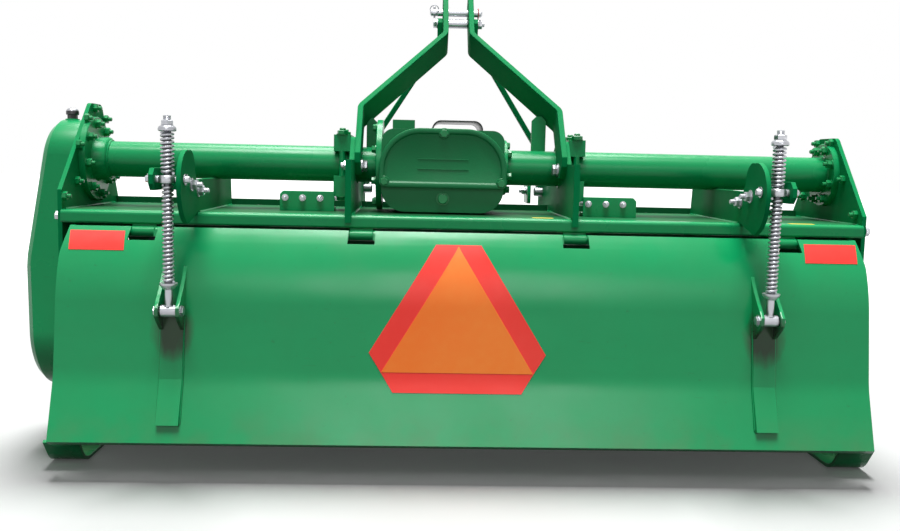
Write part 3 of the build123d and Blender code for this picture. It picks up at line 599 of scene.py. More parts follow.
# ---- mesh making
class Shape:
    """A mesh under construction, in metres in the machine's frame."""

    def __init__(self) -> None:
        """Starts empty."""
        self.mesh = bmesh.new()

    def loft(self, rings: Sequence[Sequence[Vector]], caps: bool = True) -> None:
        """Skins a row of closed rings that have the same number of points.

        Args:
            rings: The rings, from one end to the other.
            caps: Whether the end rings are filled.
        """
        made = [[self.mesh.verts.new(point) for point in ring] for ring in rings]
        count = len(made[0])
        for first, second in zip(made, made[1:]):
            for i in range(count):
                j = (i + 1) % count
                self.mesh.faces.new((first[i], first[j], second[j], second[i]))
        if caps:
            self.mesh.faces.new(list(reversed(made[0])))
            self.mesh.faces.new(made[-1])

    def lathe(self, base: Vector, axis: Vector, profile: Sequence[Point2], sides: int = 32, turn: float = 0.0) -> None:
        """Turns a profile round an axis.

        Args:
            base: The point on the axis where the profile's heights start.
            axis: The axis.
            profile: Pairs of height along the axis and radius.
            sides: The number of flats round the axis.
            turn: The angle of the first point, in radians.
        """
        along, across, up = self._axes(axis)
        rings = []
        for height, radius in profile:
            middle = base + along * height
            ring = []
            for i in range(sides):
                angle = turn + math.tau * i / sides
                ring.append(middle + (across * math.cos(angle) + up * math.sin(angle)) * radius)
            rings.append(ring)
        self.loft(rings)

    def slab(self, outline: Sequence[Vector], thickness: Vector) -> None:
        """Extrudes a flat outline by a vector."""
        self.loft([list(outline), [point + thickness for point in outline]])

    def sweep(
        self, path: Sequence[Vector], radii: float | Sequence[float], sides: int = 8, closed: bool = False
    ) -> None:
        """Runs a round section along a path.

        Args:
            path: The points of the path.
            radii: The section's radius, or one for each point.
            sides: The section's flats.
            closed: Whether the path joins its own start.
        """
        count = len(path)
        sizes = [radii] * count if isinstance(radii, float) else radii
        rings = []
        normal = None
        for i, (point, radius) in enumerate(zip(path, sizes)):
            before = path[i - 1] if i or closed else path[i]
            after = path[(i + 1) % count] if i < count - 1 or closed else path[i]
            direction = (after - before).normalized()
            if normal is None:
                normal = self._axes(direction)[1]
            normal = (normal - direction * normal.dot(direction)).normalized()
            binormal = direction.cross(normal)
            ring = []
            for k in range(sides):
                angle = math.tau * k / sides
                ring.append(point + (normal * math.cos(angle) + binormal * math.sin(angle)) * radius)
            rings.append(ring)
        if closed:
            rings.append(rings[0])
        self.loft(rings, caps=not closed)

    def rounded_block(self, low: Vector, high: Vector, radius: float, segments: int = 3) -> None:
        """A block between two corners whose edges are rounded.

        Args:
            low: The lowest corner.
            high: The highest corner.
            radius: The radius of its edges.
            segments: The number of flats in an edge.
        """
        matrix = Matrix.Translation((low + high) / 2) @ Matrix.Diagonal((*(high - low), 1.0))
        made = bmesh.ops.create_cube(self.mesh, size=1.0, matrix=matrix)
        edges = {edge for vert in made["verts"] for edge in vert.link_edges}
        bmesh.ops.bevel(
            self.mesh, geom=list(edges), offset=radius, segments=segments, profile=0.5, affect="EDGES"
        )

    @staticmethod
    def _axes(axis: Vector) -> tuple[Vector, Vector, Vector]:
        """Three square directions of which the first is the given one.

        Args:
            axis: The first direction, of any length.

        Returns:
            The three, each a metre long.
        """
        along = axis.normalized()
        helper = UP if abs(along.z) < 0.9 else ACROSS
        across = helper.cross(along).normalized()
        return along, across, along.cross(across)

    def finish(
        self, name: str, coat: Coat, body: Body = Body.FRAME, *, sharp_deg: float = TURNED_DEG,
        replaces: Sequence[str] = (), slot: Slot | None = None,
    ) -> bpy.types.Object:
        """Turns the mesh into a piece that rides on a body.

        Args:
            name: The piece's name.
            coat: Its finish.
            body: The body that it rides on.
            sharp_deg: Edges sharper than this stay sharp.
            replaces: The CAD nodes that it stands for.
            slot: Not used.

        Returns:
            The piece.
        """
        bmesh.ops.remove_doubles(self.mesh, verts=self.mesh.verts, dist=1e-6)
        bmesh.ops.recalc_face_normals(self.mesh, faces=self.mesh.faces)
        for face in self.mesh.faces:
            face.smooth = True
        piece = self.plain(name, coat.value.material)
        piece.data.set_sharp_from_angle(angle=math.radians(sharp_deg))
        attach(piece, body.value)
        if replaces:
            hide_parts(*replaces)
        LOG.info("piece %s: %d faces on %s", name, len(piece.data.polygons), body.value)
        return piece

    def plain(self, name: str, material: bpy.types.Material) -> bpy.types.Object:
        """Turns the mesh into an object as it is.

        Args:
            name: The object's name.
            material: Its material.

        Returns:
            The object.
        """
        data = bpy.data.meshes.new(name)
        self.mesh.to_mesh(data)
        self.mesh.free()
        data.materials.append(material)
        piece = bpy.data.objects.new(name, data)
        bpy.context.scene.collection.objects.link(piece)
        return piece


def ring_of(
    middle: Vector, radius: float, count: int, first_deg: float = 0.0, start: Vector = FORWARD, rise: Vector = UP
) -> list[Vector]:
    """Points evenly round a circle, from a first angle that turns from the start's direction to the rise's."""
    angles = [math.radians(first_deg + 360.0 * i / count) for i in range(count)]
    return [middle + start * (math.cos(a) * radius) + rise * (math.sin(a) * radius) for a in angles]


@dataclass(frozen=True)
class Fastener:
    """A hexagon head or nut with its washer, and a stud end where it has one."""

    across_flats: float
    head_height: float
    washer_radius: float = 0.0
    washer_height: float = 0.0
    stud_radius: float = 0.0
    stud_length: float = 0.0
    foot_edge: Point2 = (0.12, 0.96)
    top_edge: Point2 = (0.14, 0.86)
    stud_edge: Point2 = (0.0015, 0.75)
    washer_sides: int = 20
    stud_sides: int = 12

    def add(self, shape: Shape, seat: Vector, axis: Vector, turn: float = 0.0) -> None:
        """Adds the fastener to a shape.

        Args:
            shape: The mesh that it becomes part of.
            seat: The middle of the face that it sits on.
            axis: The direction it stands up in.
            turn: The angle of its flats, in radians.
        """
        corner = self.across_flats / math.sqrt(3.0)
        foot, head = self.washer_height, self.head_height
        top = foot + head
        shape.lathe(seat, axis, ((0.0, self.washer_radius), (foot, self.washer_radius)), self.washer_sides)
        (rise, foot_size), (drop, top_size) = self.foot_edge, self.top_edge
        profile = (
            (foot, corner * foot_size), (foot + head * rise, corner),
            (top - head * drop, corner), (top, corner * top_size),
        )
        shape.lathe(seat, axis, profile, 6, turn)
        if self.stud_length:
            tip, radius, (edge, tip_size) = top + self.stud_length, self.stud_radius, self.stud_edge
            stud = ((top - SUNK, radius), (tip - edge, radius), (tip, radius * tip_size))
            shape.lathe(seat, axis, stud, self.stud_sides)


def fasten(name: str, coat: Coat, *rows: tuple[Fastener, Sequence[Vector], Vector, float, float]) -> None:
    """Makes one piece of several rows of fasteners.

    Args:
        name: The piece's name.
        coat: Its finish.
        rows: For each row its fastener, seats and direction, the first one's turn and the step between turns.
    """
    shape = Shape()
    for kind, seats, axis, first, step in rows:
        for i, seat in enumerate(seats):
            kind.add(shape, seat, axis, first + step * i)
    shape.finish(name, coat, sharp_deg=FASTENER_DEG)


@dataclass(frozen=True)
class WeldBead:
    """A rippled fillet of weld metal."""

    radius: float
    pitch: float = 0.0042
    sides: int = 6
    ripple: float = 0.18
    wander: float = 0.12
    wander_scale: float = 60.0

    def add(self, shape: Shape, path: Sequence[Vector], closed: bool = False) -> None:
        """Lays the bead along a path.

        Args:
            shape: The mesh that it becomes part of.
            path: The corners of the path.
            closed: Whether it ends where it starts.
        """
        points = list(path) + ([path[0]] if closed else [])
        spots: list[Vector] = []
        for start, end in zip(points, points[1:]):
            steps = max(1, round((end - start).length / self.pitch))
            spots.extend(start.lerp(end, i / steps) for i in range(steps))
        if not closed:
            spots.append(points[-1])
        radii = []
        for i, spot in enumerate(spots):
            ripple = self.ripple if i % 2 else -self.ripple
            wander = self.wander * noise.noise(spot * self.wander_scale)
            radii.append(self.radius * (1.0 + ripple + wander))
        shape.sweep(spots, radii, self.sides, closed)


def dress(node: str, coat: Coat, bevel: float = 0.0, segments: int = 2, sharp_deg: float = PLATE_DEG) -> None:
    """Gives a CAD node its finish and soft edges, and leaves its mesh as it is.

    Args:
        node: The node's name.
        coat: Its finish.
        bevel: The width of the round on its edges, or 0 for none.
        segments: The number of flats in the round.
        sharp_deg: Edges sharper than this get it.
    """
    piece = frame["nodes"][node]
    for slot in piece.material_slots:
        slot.material = coat.value.material
    if bevel:
        weld = piece.modifiers.new("join corners", "WELD")
        weld.merge_threshold = MERGE
        soft = piece.modifiers.new("soft edges", "BEVEL")
        soft.width = bevel
        soft.segments = segments
        soft.limit_method = "ANGLE"
        soft.angle_limit = math.radians(sharp_deg)
        soft.use_clamp_overlap = True
    LOG.info("node %s dressed in %s", node, coat.value.name)


def round_shading(sharp_deg: float) -> Tree:
    """A geometry group that shades small flats as one round surface, built once for each angle.

    Args:
        sharp_deg: Edges sharper than this stay sharp.

    Returns:
        The group.
    """
    name = f"round shading {sharp_deg:.0f}"
    tree = bpy.data.node_groups.get(name)
    if tree:
        return tree
    tree = bpy.data.node_groups.new(name, "GeometryNodeTree")
    for way in ("INPUT", "OUTPUT"):
        tree.interface.new_socket(name="Geometry", in_out=way, socket_type="NodeSocketGeometry")
    graph = Graph(tree)
    given = graph.add("NodeGroupInput", {}).outputs[0]
    plain = graph.add("GeometryNodeRemoveAttribute", {"Geometry": given, "Name": "custom_normal"})
    merge = graph.add("GeometryNodeMergeByDistance", {"Geometry": plain.outputs["Geometry"], "Distance": MERGE})
    faces = graph.add("GeometryNodeSetShadeSmooth", {"Geometry": merge.outputs["Geometry"]})
    angle = graph.add("GeometryNodeInputMeshEdgeAngle", {}).outputs["Unsigned Angle"]
    sharper = graph.add("FunctionNodeCompare", {"A": angle, "B": math.radians(sharp_deg)})
    edges = graph.add("GeometryNodeSetShadeSmooth", {
        "Geometry": faces.outputs["Geometry"], "Selection": sharper.outputs["Result"], "Shade Smooth": False,
    })
    edges.domain = "EDGE"
    graph.add("NodeGroupOutput", {0: edges.outputs["Geometry"]})
    return tree


def smooth_flats(node: str, sharp_deg: float = 24.0) -> None:
    """Shades a CAD node's small flats as one round surface."""
    frame["nodes"][node].modifiers.new("round shading", "NODES").node_group = round_shading(sharp_deg)


def mirrored(start: Sequence[Point2], length: float) -> list[Point2]:
    """A profile of a length that ends as it starts."""
    return [*start, *((length - height, radius) for height, radius in reversed(start))]


# ---- sub-assemblies
@dataclass
class SpringRodSet:
    """One of the two sprung rods that hold the tailboard down, with its trunnion, nuts and coils."""

    side: Side
    wire_radius: float = 0.00285
    lower_radius: float = 0.0132
    upper_radius: float = 0.0152
    lower_turns: float = 23.5
    upper_turns: float = 10.5
    closed_turns: float = 0.75
    steps_per_turn: int = 24
    rod_radius: float = 0.0085
    rod_flats: int = 24
    thread_pitch: float = 0.0022
    thread_root: float = 0.91
    cap_radius: float = 0.0195
    cap_rim: Point2 = (0.0016, 0.0046)
    cap_height: float = 0.0125
    dome_steps: int = 6
    seat_height: float = 0.014
    seat_flats: int = 40
    bore_gap: float = 0.0003
    boss_radius: float = 0.013
    boss_half_length: float = 0.0178
    boss_chamfer: float = 0.0014
    eye_pin_radius: float = 0.0076
    weld_radius: float = 0.0092
    cap_nut: Fastener = Fastener(0.024, 0.0105, 0.0135, 0.0012)
    eye_nut: Fastener = Fastener(0.0185, 0.0055, 0.0135, 0.0016)
    eye_weld: WeldBead = WeldBead(0.0022, pitch=0.0035)
    barrel_end: Profile = ((0.0, 0.0098), (0.0, 0.0166), (0.0022, 0.0188), (0.0045, 0.0196))
    barrel_clearance: float = 0.0015
    pin_start: float = 0.0185
    pin_radii: Point2 = (0.0078, 0.0064)
    pin_washer: Profile = ((0.0, 0.0125), (0.0018, 0.0125))
    split_pin: tuple[Point2, ...] = ((0.0115, 0.0014), (0.006, 0.0012), (0.0, 0.0012), (-0.006, 0.0012))
    pin_step: Point2 = (0.0205, 0.0185)
    washer_inset: float = 0.0105
    split_pin_inset: float = 0.0055
    coil_deg: float = 60.0
    flat_turn_rise: float = 0.8
    core_sunk: float = 0.004
    cone_foot: float = 0.0025
    cone_edge: Point2 = (0.005, 0.95)
    cone_rim: float = 0.003
    thread_crest: Point2 = (0.35, 0.85)
    rod_end_size: float = 0.8
    cap_foot_size: float = 0.84
    dome_size: float = 0.62
    boss_end_size: float = 0.9
    weld_rise: float = 0.86
    eye_pin_inset: float = 0.0025

    @property
    def rod_body(self) -> Body:
        """The body that the rod is."""
        return Body[f"ROD_{self.side.name}"]

    @property
    def trunnion_body(self) -> Body:
        """The body that the trunnion is."""
        return Body[f"TRUNNION_{self.side.name}"]

    def build(self) -> None:
        """Makes the rod, its springs and its trunnion."""
        word = self.side.word
        low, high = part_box(f"lower_spring_{word}")
        upper_low, upper_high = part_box(f"upper_spring_{word}")
        foot = Vector(((low.x + high.x) / 2, (low.y + high.y) / 2, 0.0))
        self._rod(foot, low.z, upper_high.z)
        self._trunnion(Vector((foot.x, foot.y, (high.z + upper_low.z) / 2)))
        self._coil("upper", foot, self.upper_radius, self.upper_turns)
        lower = self._coil("lower", foot, self.lower_radius, self.lower_turns)
        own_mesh(lower)

    def _coil(self, level: str, foot: Vector, outer: float, turns: float) -> bpy.types.Object:
        """Winds one coil spring with closed ends.

        Args:
            level: Upper or lower, as the CAD node says.
            foot: A point on the spring's axis.
            outer: The outer radius.
            turns: The number of turns.

        Returns:
            The piece.
        """
        node = f"{level}_spring_{self.side.word}"
        low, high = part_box(node)
        bottom, top = low.z + self.wire_radius, high.z - self.wire_radius
        radius = outer - self.wire_radius
        closed, wire = self.closed_turns / turns, self.wire_radius * 2 / (top - bottom)
        count = round(turns * self.steps_per_turn)
        path = []
        for i in range(count + 1):
            share = i / count
            angle = math.tau * turns * share
            z = bottom + (top - bottom) * self._closed_ends(share, closed, wire)
            path.append(Vector((foot.x + radius * math.cos(angle), foot.y + radius * math.sin(angle), z)))
        shape = Shape()
        shape.sweep(path, self.wire_radius, 10)
        return shape.finish(
            f"{level}_spring_coil_{self.side.word}", Coat.ZINC, self.trunnion_body, sharp_deg=self.coil_deg,
            replaces=(node,),
        )

    def _closed_ends(self, share: float, closed: float, wire: float) -> float:
        """The share of a spring's height at a share of its turns, with nearly flat turns at both ends.

        Args:
            share: The share of its turns.
            closed: The share of its turns that each flat end takes.
            wire: The wire's thickness as a share of its height.

        Returns:
            The share of its height.
        """
        rise = wire * self.flat_turn_rise
        if share < closed:
            return rise * share / closed
        if share > 1.0 - closed:
            return 1.0 - rise * (1.0 - share) / closed
        return rise + (1.0 - 2.0 * rise) * (share - closed) / (1.0 - 2.0 * closed)

    def _rod(self, foot: Vector, seat_z: float, cap_z: float) -> None:
        """Makes the rod with its core, thread, cap, nuts, lower seat and eye.

        Args:
            foot: A point on the rod's axis.
            seat_z: The height of the lower spring's seat.
            cap_z: The height of the upper spring's top.
        """
        word = self.side.word
        low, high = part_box(f"spring_rod_{word}")
        radius, start = self.rod_radius, cap_z - self.cap_height
        core = Shape()
        core.lathe(foot, UP, ((seat_z - self.core_sunk, radius), (start, radius)), self.rod_flats)
        # The core inside the coils takes the darker zinc, which is painted shade.
        core.finish(f"spring_rod_core_{word}", Coat.DULL_ZINC, self.rod_body)
        shape = Shape()
        eye = Vector((foot.x, foot.y, low.z + self.boss_radius))
        shape.lathe(foot, UP, ((eye.z, radius), (seat_z - self.cone_rim, radius)), self.rod_flats)
        shape.lathe(foot, UP, self._thread(start, high.z), self.rod_flats)
        shape.lathe(foot, UP, self._cap(cap_z), self.seat_flats)
        self.cap_nut.add(shape, foot + UP * (cap_z + self.cap_height), UP, 0.3)
        cone_z, bore, (edge, edge_size) = seat_z - self.seat_height, radius + self.bore_gap, self.cone_edge
        cone = (
            (cone_z, bore), (cone_z, radius + self.cone_foot), (seat_z - edge, self.cap_radius * edge_size),
            (seat_z - self.cone_rim, self.cap_radius), (seat_z, self.cap_radius), (seat_z, bore),
        )
        shape.lathe(foot, UP, cone, self.seat_flats)
        self._eye(shape, eye, (high.x - low.x) / 2)
        shape.finish(
            f"spring_rod_dressed_{word}", Coat.ZINC, self.rod_body, replaces=(f"spring_rod_{word}",)
        )

    def _thread(self, start: float, end: float) -> list[Point2]:
        """Draws the profile of the rod's threaded top.

        Args:
            start: The height at which the thread starts.
            end: The height of the rod's end.

        Returns:
            Pairs of height and radius.
        """
        profile, radius = [(start, self.rod_radius)], self.rod_radius
        root, crest = self.thread_crest
        for i in range(int((end - start) / self.thread_pitch)):
            profile.append((start + (i + root) * self.thread_pitch, radius * self.thread_root))
            profile.append((start + (i + crest) * self.thread_pitch, radius))
        return [*profile, (end, radius * self.rod_end_size)]

    def _cap(self, foot: float) -> list[Point2]:
        """Draws the profile of the domed cap over the upper spring.

        Args:
            foot: The height of its foot.

        Returns:
            Pairs of height and radius.
        """
        bore, rim, shoulder = self.rod_radius + self.bore_gap, *(foot + step for step in self.cap_rim)
        radius, flat = self.cap_radius, self.dome_size
        profile = [(foot, bore), (foot, radius * self.cap_foot_size), (rim, radius), (shoulder, radius)]
        for i in range(1, self.dome_steps + 1):
            angle = math.pi / 2 * i / self.dome_steps
            height = shoulder + (self.cap_height - self.cap_rim[1]) * math.sin(angle)
            profile.append((height, radius * (flat + (1.0 - flat) * math.cos(angle))))
        return [*profile, (foot + self.cap_height, bore)]

    def _eye(self, shape: Shape, eye: Vector, half_width: float) -> None:
        """Adds the rod's welded eye and the bolt through it.

        Args:
            shape: The mesh that they become part of.
            eye: The eye's middle.
            half_width: Half of the bolt's length over its nuts.
        """
        half, radius = self.boss_half_length, self.boss_radius
        boss = mirrored(((0.0, radius * self.boss_end_size), (self.boss_chamfer, radius)), 2 * half)
        shape.lathe(eye - ACROSS * half, ACROSS, boss, 32)
        neck = Vector((eye.x, eye.y, eye.z + radius * self.weld_rise))
        self.eye_weld.add(shape, ring_of(neck, self.weld_radius, 24, start=ACROSS, rise=FORWARD), True)
        reach = half_width - self.eye_pin_inset
        shape.lathe(eye - ACROSS * reach, ACROSS, mirrored(((0.0, self.eye_pin_radius),), 2 * reach), 20)
        for way in WAYS:
            self.eye_nut.add(shape, eye + ACROSS * way * (reach - HAIR), ACROSS * way, 0.2)

    def _trunnion(self, middle: Vector) -> None:
        """Makes the pivot barrel with its two pins, washers and split pins.

        Args:
            middle: The middle of the barrel.
        """
        node = f"trunnion_{self.side.word}"
        low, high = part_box(node)
        half = (high.z - low.z) / 2 - self.barrel_clearance
        reach = (high.x - low.x) / 2
        shape = Shape()
        shape.lathe(middle - UP * half, UP, mirrored(self.barrel_end, 2 * half), 44)
        (thick, thin), (start, end) = self.pin_radii, self.pin_step
        pin = ((0.0, thick), (reach - start, thick), (reach - end, thin))
        for way in WAYS:
            shape.lathe(middle + ACROSS * way * self.pin_start, ACROSS * way, pin, 24)
            shape.lathe(middle + ACROSS * way * (reach - self.washer_inset), ACROSS * way, self.pin_washer, 24)
            hole = middle + ACROSS * way * (reach - self.split_pin_inset)
            legs = [hole + UP * z for z, _ in self.split_pin]
            shape.sweep(legs, [radius for _, radius in self.split_pin], 6)
        shape.finish(f"trunnion_block_{self.side.word}", Coat.ZINC, self.trunnion_body, replaces=(node,))


@dataclass
class Emblem:
    """The plain slow-moving-vehicle emblem: an orange triangle in a red border."""

    middle_x: float = -0.024
    border: Profile = ((0.194, 0.145), (0.281, 0.2), (0.522, 0.052))
    border_proud: float = 0.0012
    triangle: Profile = ((0.238, 0.1715), (0.518, 0.0))
    triangle_proud: float = 0.0019
    triangle_back: float = 0.0002
    tip_half: float = 0.001
    rows: int = 28
    columns: int = 12

    def build(self, board: "Tailboard") -> None:
        """Lays the emblem's two layers over the tailboard's sheet.

        Args:
            board: The tailboard that carries it.
        """
        layers = (
            ("emblem_red_border", Coat.RED, self.border, self.border_proud, 0.0),
            ("emblem_orange_triangle", Coat.ORANGE, self.triangle, self.triangle_proud, self.triangle_back),
        )
        for name, coat, halves, proud, back in layers:
            bottom, top = halves[0][0], halves[-1][0]
            even = [bottom + (top - bottom) * i / self.rows for i in range(self.rows + 1)]
            rows = []
            for z in sorted([*even, self.border[1][0]]):
                half = max(self.tip_half, broken_line(halves, z))
                rows.append((z, self.middle_x - half, self.middle_x + half))
            board.strip(rows, self.columns, proud, back).finish(name, coat, Body.TAILBOARD)


@dataclass
class Tailboard:
    """The hinged rear sheet: a bowed upper part, a flatter middle, a flared foot and folded ends."""

    half_width: float = 0.922
    sheet: float = 0.005
    bulge: float = 0.013
    bulge_steps: int = 16
    top: Point2 = (-0.021, 0.549)
    crease_1: Point2 = (-0.091, 0.375)
    crease_2: Point2 = (-0.113, 0.217)
    bend: Point2 = (-0.160, 0.083)
    lip: Point2 = (-0.147, 0.074)
    bend_reach: float = 0.022
    bend_steps: int = 6
    corner_in: float = 0.012
    corner_down: float = 0.058
    column_step: float = 0.06
    fold_depth: float = 0.0298
    fold_thickness: float = 0.0078
    fold_start: float = 0.0004
    fold_drop: float = 0.003
    hinge_height: float = 0.536
    hinge_xs: tuple[float, ...] = (-0.751, -0.25, 0.25, 0.751)
    hinge_pin: Profile = ((0.0, 0.0048), (0.001, 0.0058))
    notch_half: float = 0.0312
    notch_bottom: float = 0.5195
    knuckle_radius: float = 0.0119
    knuckle_bore: float = 0.0062
    knuckle_gap: float = 0.001
    frame_knuckle_half: float = 0.027
    board_knuckle_edge: Point2 = (0.0008, 0.94)
    frame_knuckle_edge: Point2 = (0.001, 0.93)
    frame_tab_round: float = 0.0008
    board_deg: float = 28.0
    board_knuckle_length: float = 0.014
    tab: tuple[Point2, ...] = ((-0.0105, 0.0), (-0.0175, 0.006), (-0.02, -0.009), (-0.001, -0.011))
    bracket_weld: WeldBead = WeldBead(0.0026, pitch=0.0035)
    bracket_weld_half: float = 0.0255
    bracket_weld_proud: float = 0.0012
    reflector_heights: Point2 = (0.497, 0.539)
    reflector_ends: Point2 = (0.903, 0.7805)
    reflector_lean: float = -0.0035
    reflector_proud: float = 0.0011
    reflector_sunk: float = 0.0001
    reflector_rows: int = 6
    reflector_columns: int = 4

    def __post_init__(self) -> None:
        """Works out the sheet's rear line once."""
        self._line = self._rounded_line()

    def _rounded_line(self) -> list[Point2]:
        """Draws the sheet's rear face with its bulge and its eased creases.

        Returns:
            Pairs of Y from the hinge line and Z, from the top down.
        """
        start, end = Vector(self.top), Vector(self.crease_1)
        chord = end - start
        out = Vector((chord.y, -chord.x)).normalized()
        points = []
        for i in range(self.bulge_steps + 1):
            share = i / self.bulge_steps
            spot = start + chord * share + out * (4.0 * self.bulge * share * (1.0 - share))
            points.append((spot.x, spot.y))
        corners = [points[-2], self.crease_1, self.crease_2, self.bend]
        points = points[:-1]
        for before, corner, after in zip(corners, corners[1:], corners[2:]):
            points.extend(self._eased(before, corner, after))
        return [*points, self.bend, self.lip]

    def _eased(self, before: Point2, corner: Point2, after: Point2) -> list[Point2]:
        """A bend of the sheet as a short curve.

        Args:
            before: The point before the bend.
            corner: The bend's corner.
            after: The point after it.

        Returns:
            The points of the curve.
        """
        middle = Vector(corner)
        reach_in = min(self.bend_reach, (Vector(before) - middle).length * 0.9)
        first = middle + (Vector(before) - middle).normalized() * reach_in
        last = middle + (Vector(after) - middle).normalized() * self.bend_reach
        points = []
        for i in range(self.bend_steps + 1):
            share = i / self.bend_steps
            spot = first * (1 - share) ** 2 + middle * (2 * share * (1 - share)) + last * share**2
            points.append((spot.x, spot.y))
        return points

    def rear_depth(self, z: float) -> float:
        """The sheet's rear face at a height, as Y from the hinge line."""
        return broken_line([(z, y) for y, z in self._line], z)

    def strip(self, rows: Sequence[Point3], columns: int, proud: float, back: float) -> Shape:
        """Makes a thin layer that follows the sheet's rear face.

        Args:
            rows: Each row's height and its two ends across the sheet.
            columns: The number of bands across it.
            proud: How far its face stands off the sheet.
            back: How far its back stands off the sheet.

        Returns:
            The layer's mesh.
        """
        rings = []
        for z, start, end in rows:
            y = self.rear_depth(z)
            xs = [start + (end - start) * k / columns for k in range(columns + 1)]
            rings.append([at(x, y - proud, z) for x in xs] + [at(x, y - back, z) for x in reversed(xs)])
        shape = Shape()
        shape.loft(rings)
        return shape

    def half_at(self, z: float) -> float:
        """Half of the sheet's width at a height; its upper corners are cut."""
        over = max(0.0, z - (self.top[1] - self.corner_down)) / self.corner_down
        return self.half_width - self.corner_in * over

    def build(self) -> None:
        """Makes the sheet and its hinges, and dresses its brackets and reflectors."""
        self._board()
        self._frame_knuckles()
        for side in Side:
            dress(f"tailboard_bracket_{side.word}", Coat.SHEET_GREEN, 0.0012)
            self._bracket_weld(side)
            self._reflector(side)

    def _rows(self) -> list[tuple[Point2, Point2]]:
        """Works out the sheet's levels.

        Returns:
            For each level a point of the rear face and one of the front face.
        """
        notch = (self.rear_depth(self.notch_bottom), self.notch_bottom)
        levels = sorted({*self._line, notch}, key=lambda point: -point[1])
        rows = []
        for i, (y, z) in enumerate(levels):
            y0, z0 = levels[max(0, i - 1)]
            y1, z1 = levels[min(len(levels) - 1, i + 1)]
            along = Vector((y1 - y0, z1 - z0)).normalized()
            inward = Vector((-along.y, along.x)) * self.sheet
            rows.append(((y, z), (y + inward.x, z + inward.y)))
        return rows

    def _columns(self) -> list[float]:
        """Works out places across the sheet, with the notches' edges among them.

        Returns:
            Shares of the sheet's half width.
        """
        edges = {-1.0, 1.0}
        for x in self.hinge_xs:
            edges |= {(x - self.notch_half) / self.half_width, (x + self.notch_half) / self.half_width}
        columns: list[float] = []
        ordered = sorted(edges)
        for low, high in zip(ordered, ordered[1:]):
            steps = max(1, round((high - low) * self.half_width / self.column_step))
            columns.extend(low + (high - low) * i / steps for i in range(steps))
        return [*columns, 1.0]

    def _board(self) -> None:
        """Makes the sheet with its notches, folded ends, knuckles and pins."""
        shape = Shape()
        make = shape.mesh.faces.new
        rows, columns = self._rows(), self._columns()
        rear, front = [], []
        for (y, z), (inner_y, inner_z) in rows:
            half = self.half_at(z)
            rear.append([shape.mesh.verts.new(at(half * share, y, z)) for share in columns])
            front.append([shape.mesh.verts.new(at(half * share, inner_y, inner_z)) for share in columns])
        kept = {
            (i, j)
            for i in range(len(rows) - 1)
            for j in range(len(columns) - 1)
            if not self._in_notch(rows[i + 1][0][1], (columns[j] + columns[j + 1]) / 2 * self.half_width)
        }
        for i, j in kept:
            make((rear[i][j], rear[i][j + 1], rear[i + 1][j + 1], rear[i + 1][j]))
            make((front[i][j], front[i + 1][j], front[i + 1][j + 1], front[i][j + 1]))
            borders = (
                ((i - 1, j), (i, j), (i, j + 1)),
                ((i + 1, j), (i + 1, j), (i + 1, j + 1)),
                ((i, j - 1), (i, j), (i + 1, j)),
                ((i, j + 1), (i, j + 1), (i + 1, j + 1)),
            )
            for neighbour, (a, b), (c, d) in borders:
                if neighbour not in kept:
                    make((rear[a][b], rear[c][d], front[c][d], front[a][b]))
        for side in Side:
            self._end_fold(shape, side)
        for x in self.hinge_xs:
            self._board_knuckles(shape, x)
        shape.finish(
            "tailboard_sheet", Coat.SHEET_GREEN, Body.TAILBOARD, sharp_deg=self.board_deg, replaces=("tailboard",)
        )

    def _in_notch(self, lower_z: float, x: float) -> bool:
        """Whether a patch of the sheet lies in one of the hinges' notches."""
        return lower_z >= self.notch_bottom - 1e-6 and any(abs(x - hinge) < self.notch_half for hinge in self.hinge_xs)

    def _end_fold(self, shape: Shape, side: Side) -> None:
        """Folds the sheet forward at one end.

        Args:
            shape: The mesh that it becomes part of.
            side: The end.
        """
        rings = []
        for (y, z), _ in self._rows():
            outer = side.value * self.half_at(z)
            inner = outer - side.value * self.fold_thickness
            drop = self.fold_drop if z < self.crease_1[1] else 0.0
            near, far = y + self.fold_start, y + self.fold_depth
            rings.append([at(outer, near, z), at(outer, far, z + drop), at(inner, far, z + drop), at(inner, near, z)])
        shape.loft(rings)

    def _board_knuckles(self, shape: Shape, x: float) -> None:
        """Adds the sheet's two knuckles, their tabs and the pin of one hinge.

        Args:
            shape: The mesh that they become part of.
            x: The hinge's middle.
        """
        length, radius = self.board_knuckle_length, self.knuckle_radius
        edge, size = self.board_knuckle_edge
        knuckle = mirrored(((0.0, radius * size), (edge, radius)), length)
        for way in WAYS:
            near = x + way * (self.frame_knuckle_half + self.knuckle_gap)
            shape.lathe(at(near, 0.0, self.hinge_height), ACROSS * way, knuckle, 28)
            outline = [at(near, y, self.hinge_height + z) for y, z in self.tab]
            shape.slab(outline, ACROSS * way * length)
        reach = self.frame_knuckle_half + length
        shape.lathe(at(x - reach, 0.0, self.hinge_height), ACROSS, mirrored(self.hinge_pin, 2 * reach), 20)

    def _frame_knuckles(self) -> None:
        """Makes the rail's knuckles: rolled tabs whose open bore shows at both ends."""
        shape = Shape()
        rail_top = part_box("hinge_lugs")[1].z
        half, radius, bore = self.frame_knuckle_half, self.knuckle_radius, self.knuckle_bore
        edge, size = self.frame_knuckle_edge
        profile = mirrored(((0.0, bore), (0.0, radius * size), (edge, radius)), 2 * half)
        for x in self.hinge_xs:
            shape.lathe(at(x - half, 0.0, self.hinge_height), ACROSS, profile, 32)
            low = at(x - half, bore + 0.0001, self.hinge_height)
            shape.rounded_block(low, at(x + half, radius, rail_top), self.frame_tab_round, 1)
        shape.finish("hinge_knuckles", Coat.GREEN, replaces=("hinge_lugs",))

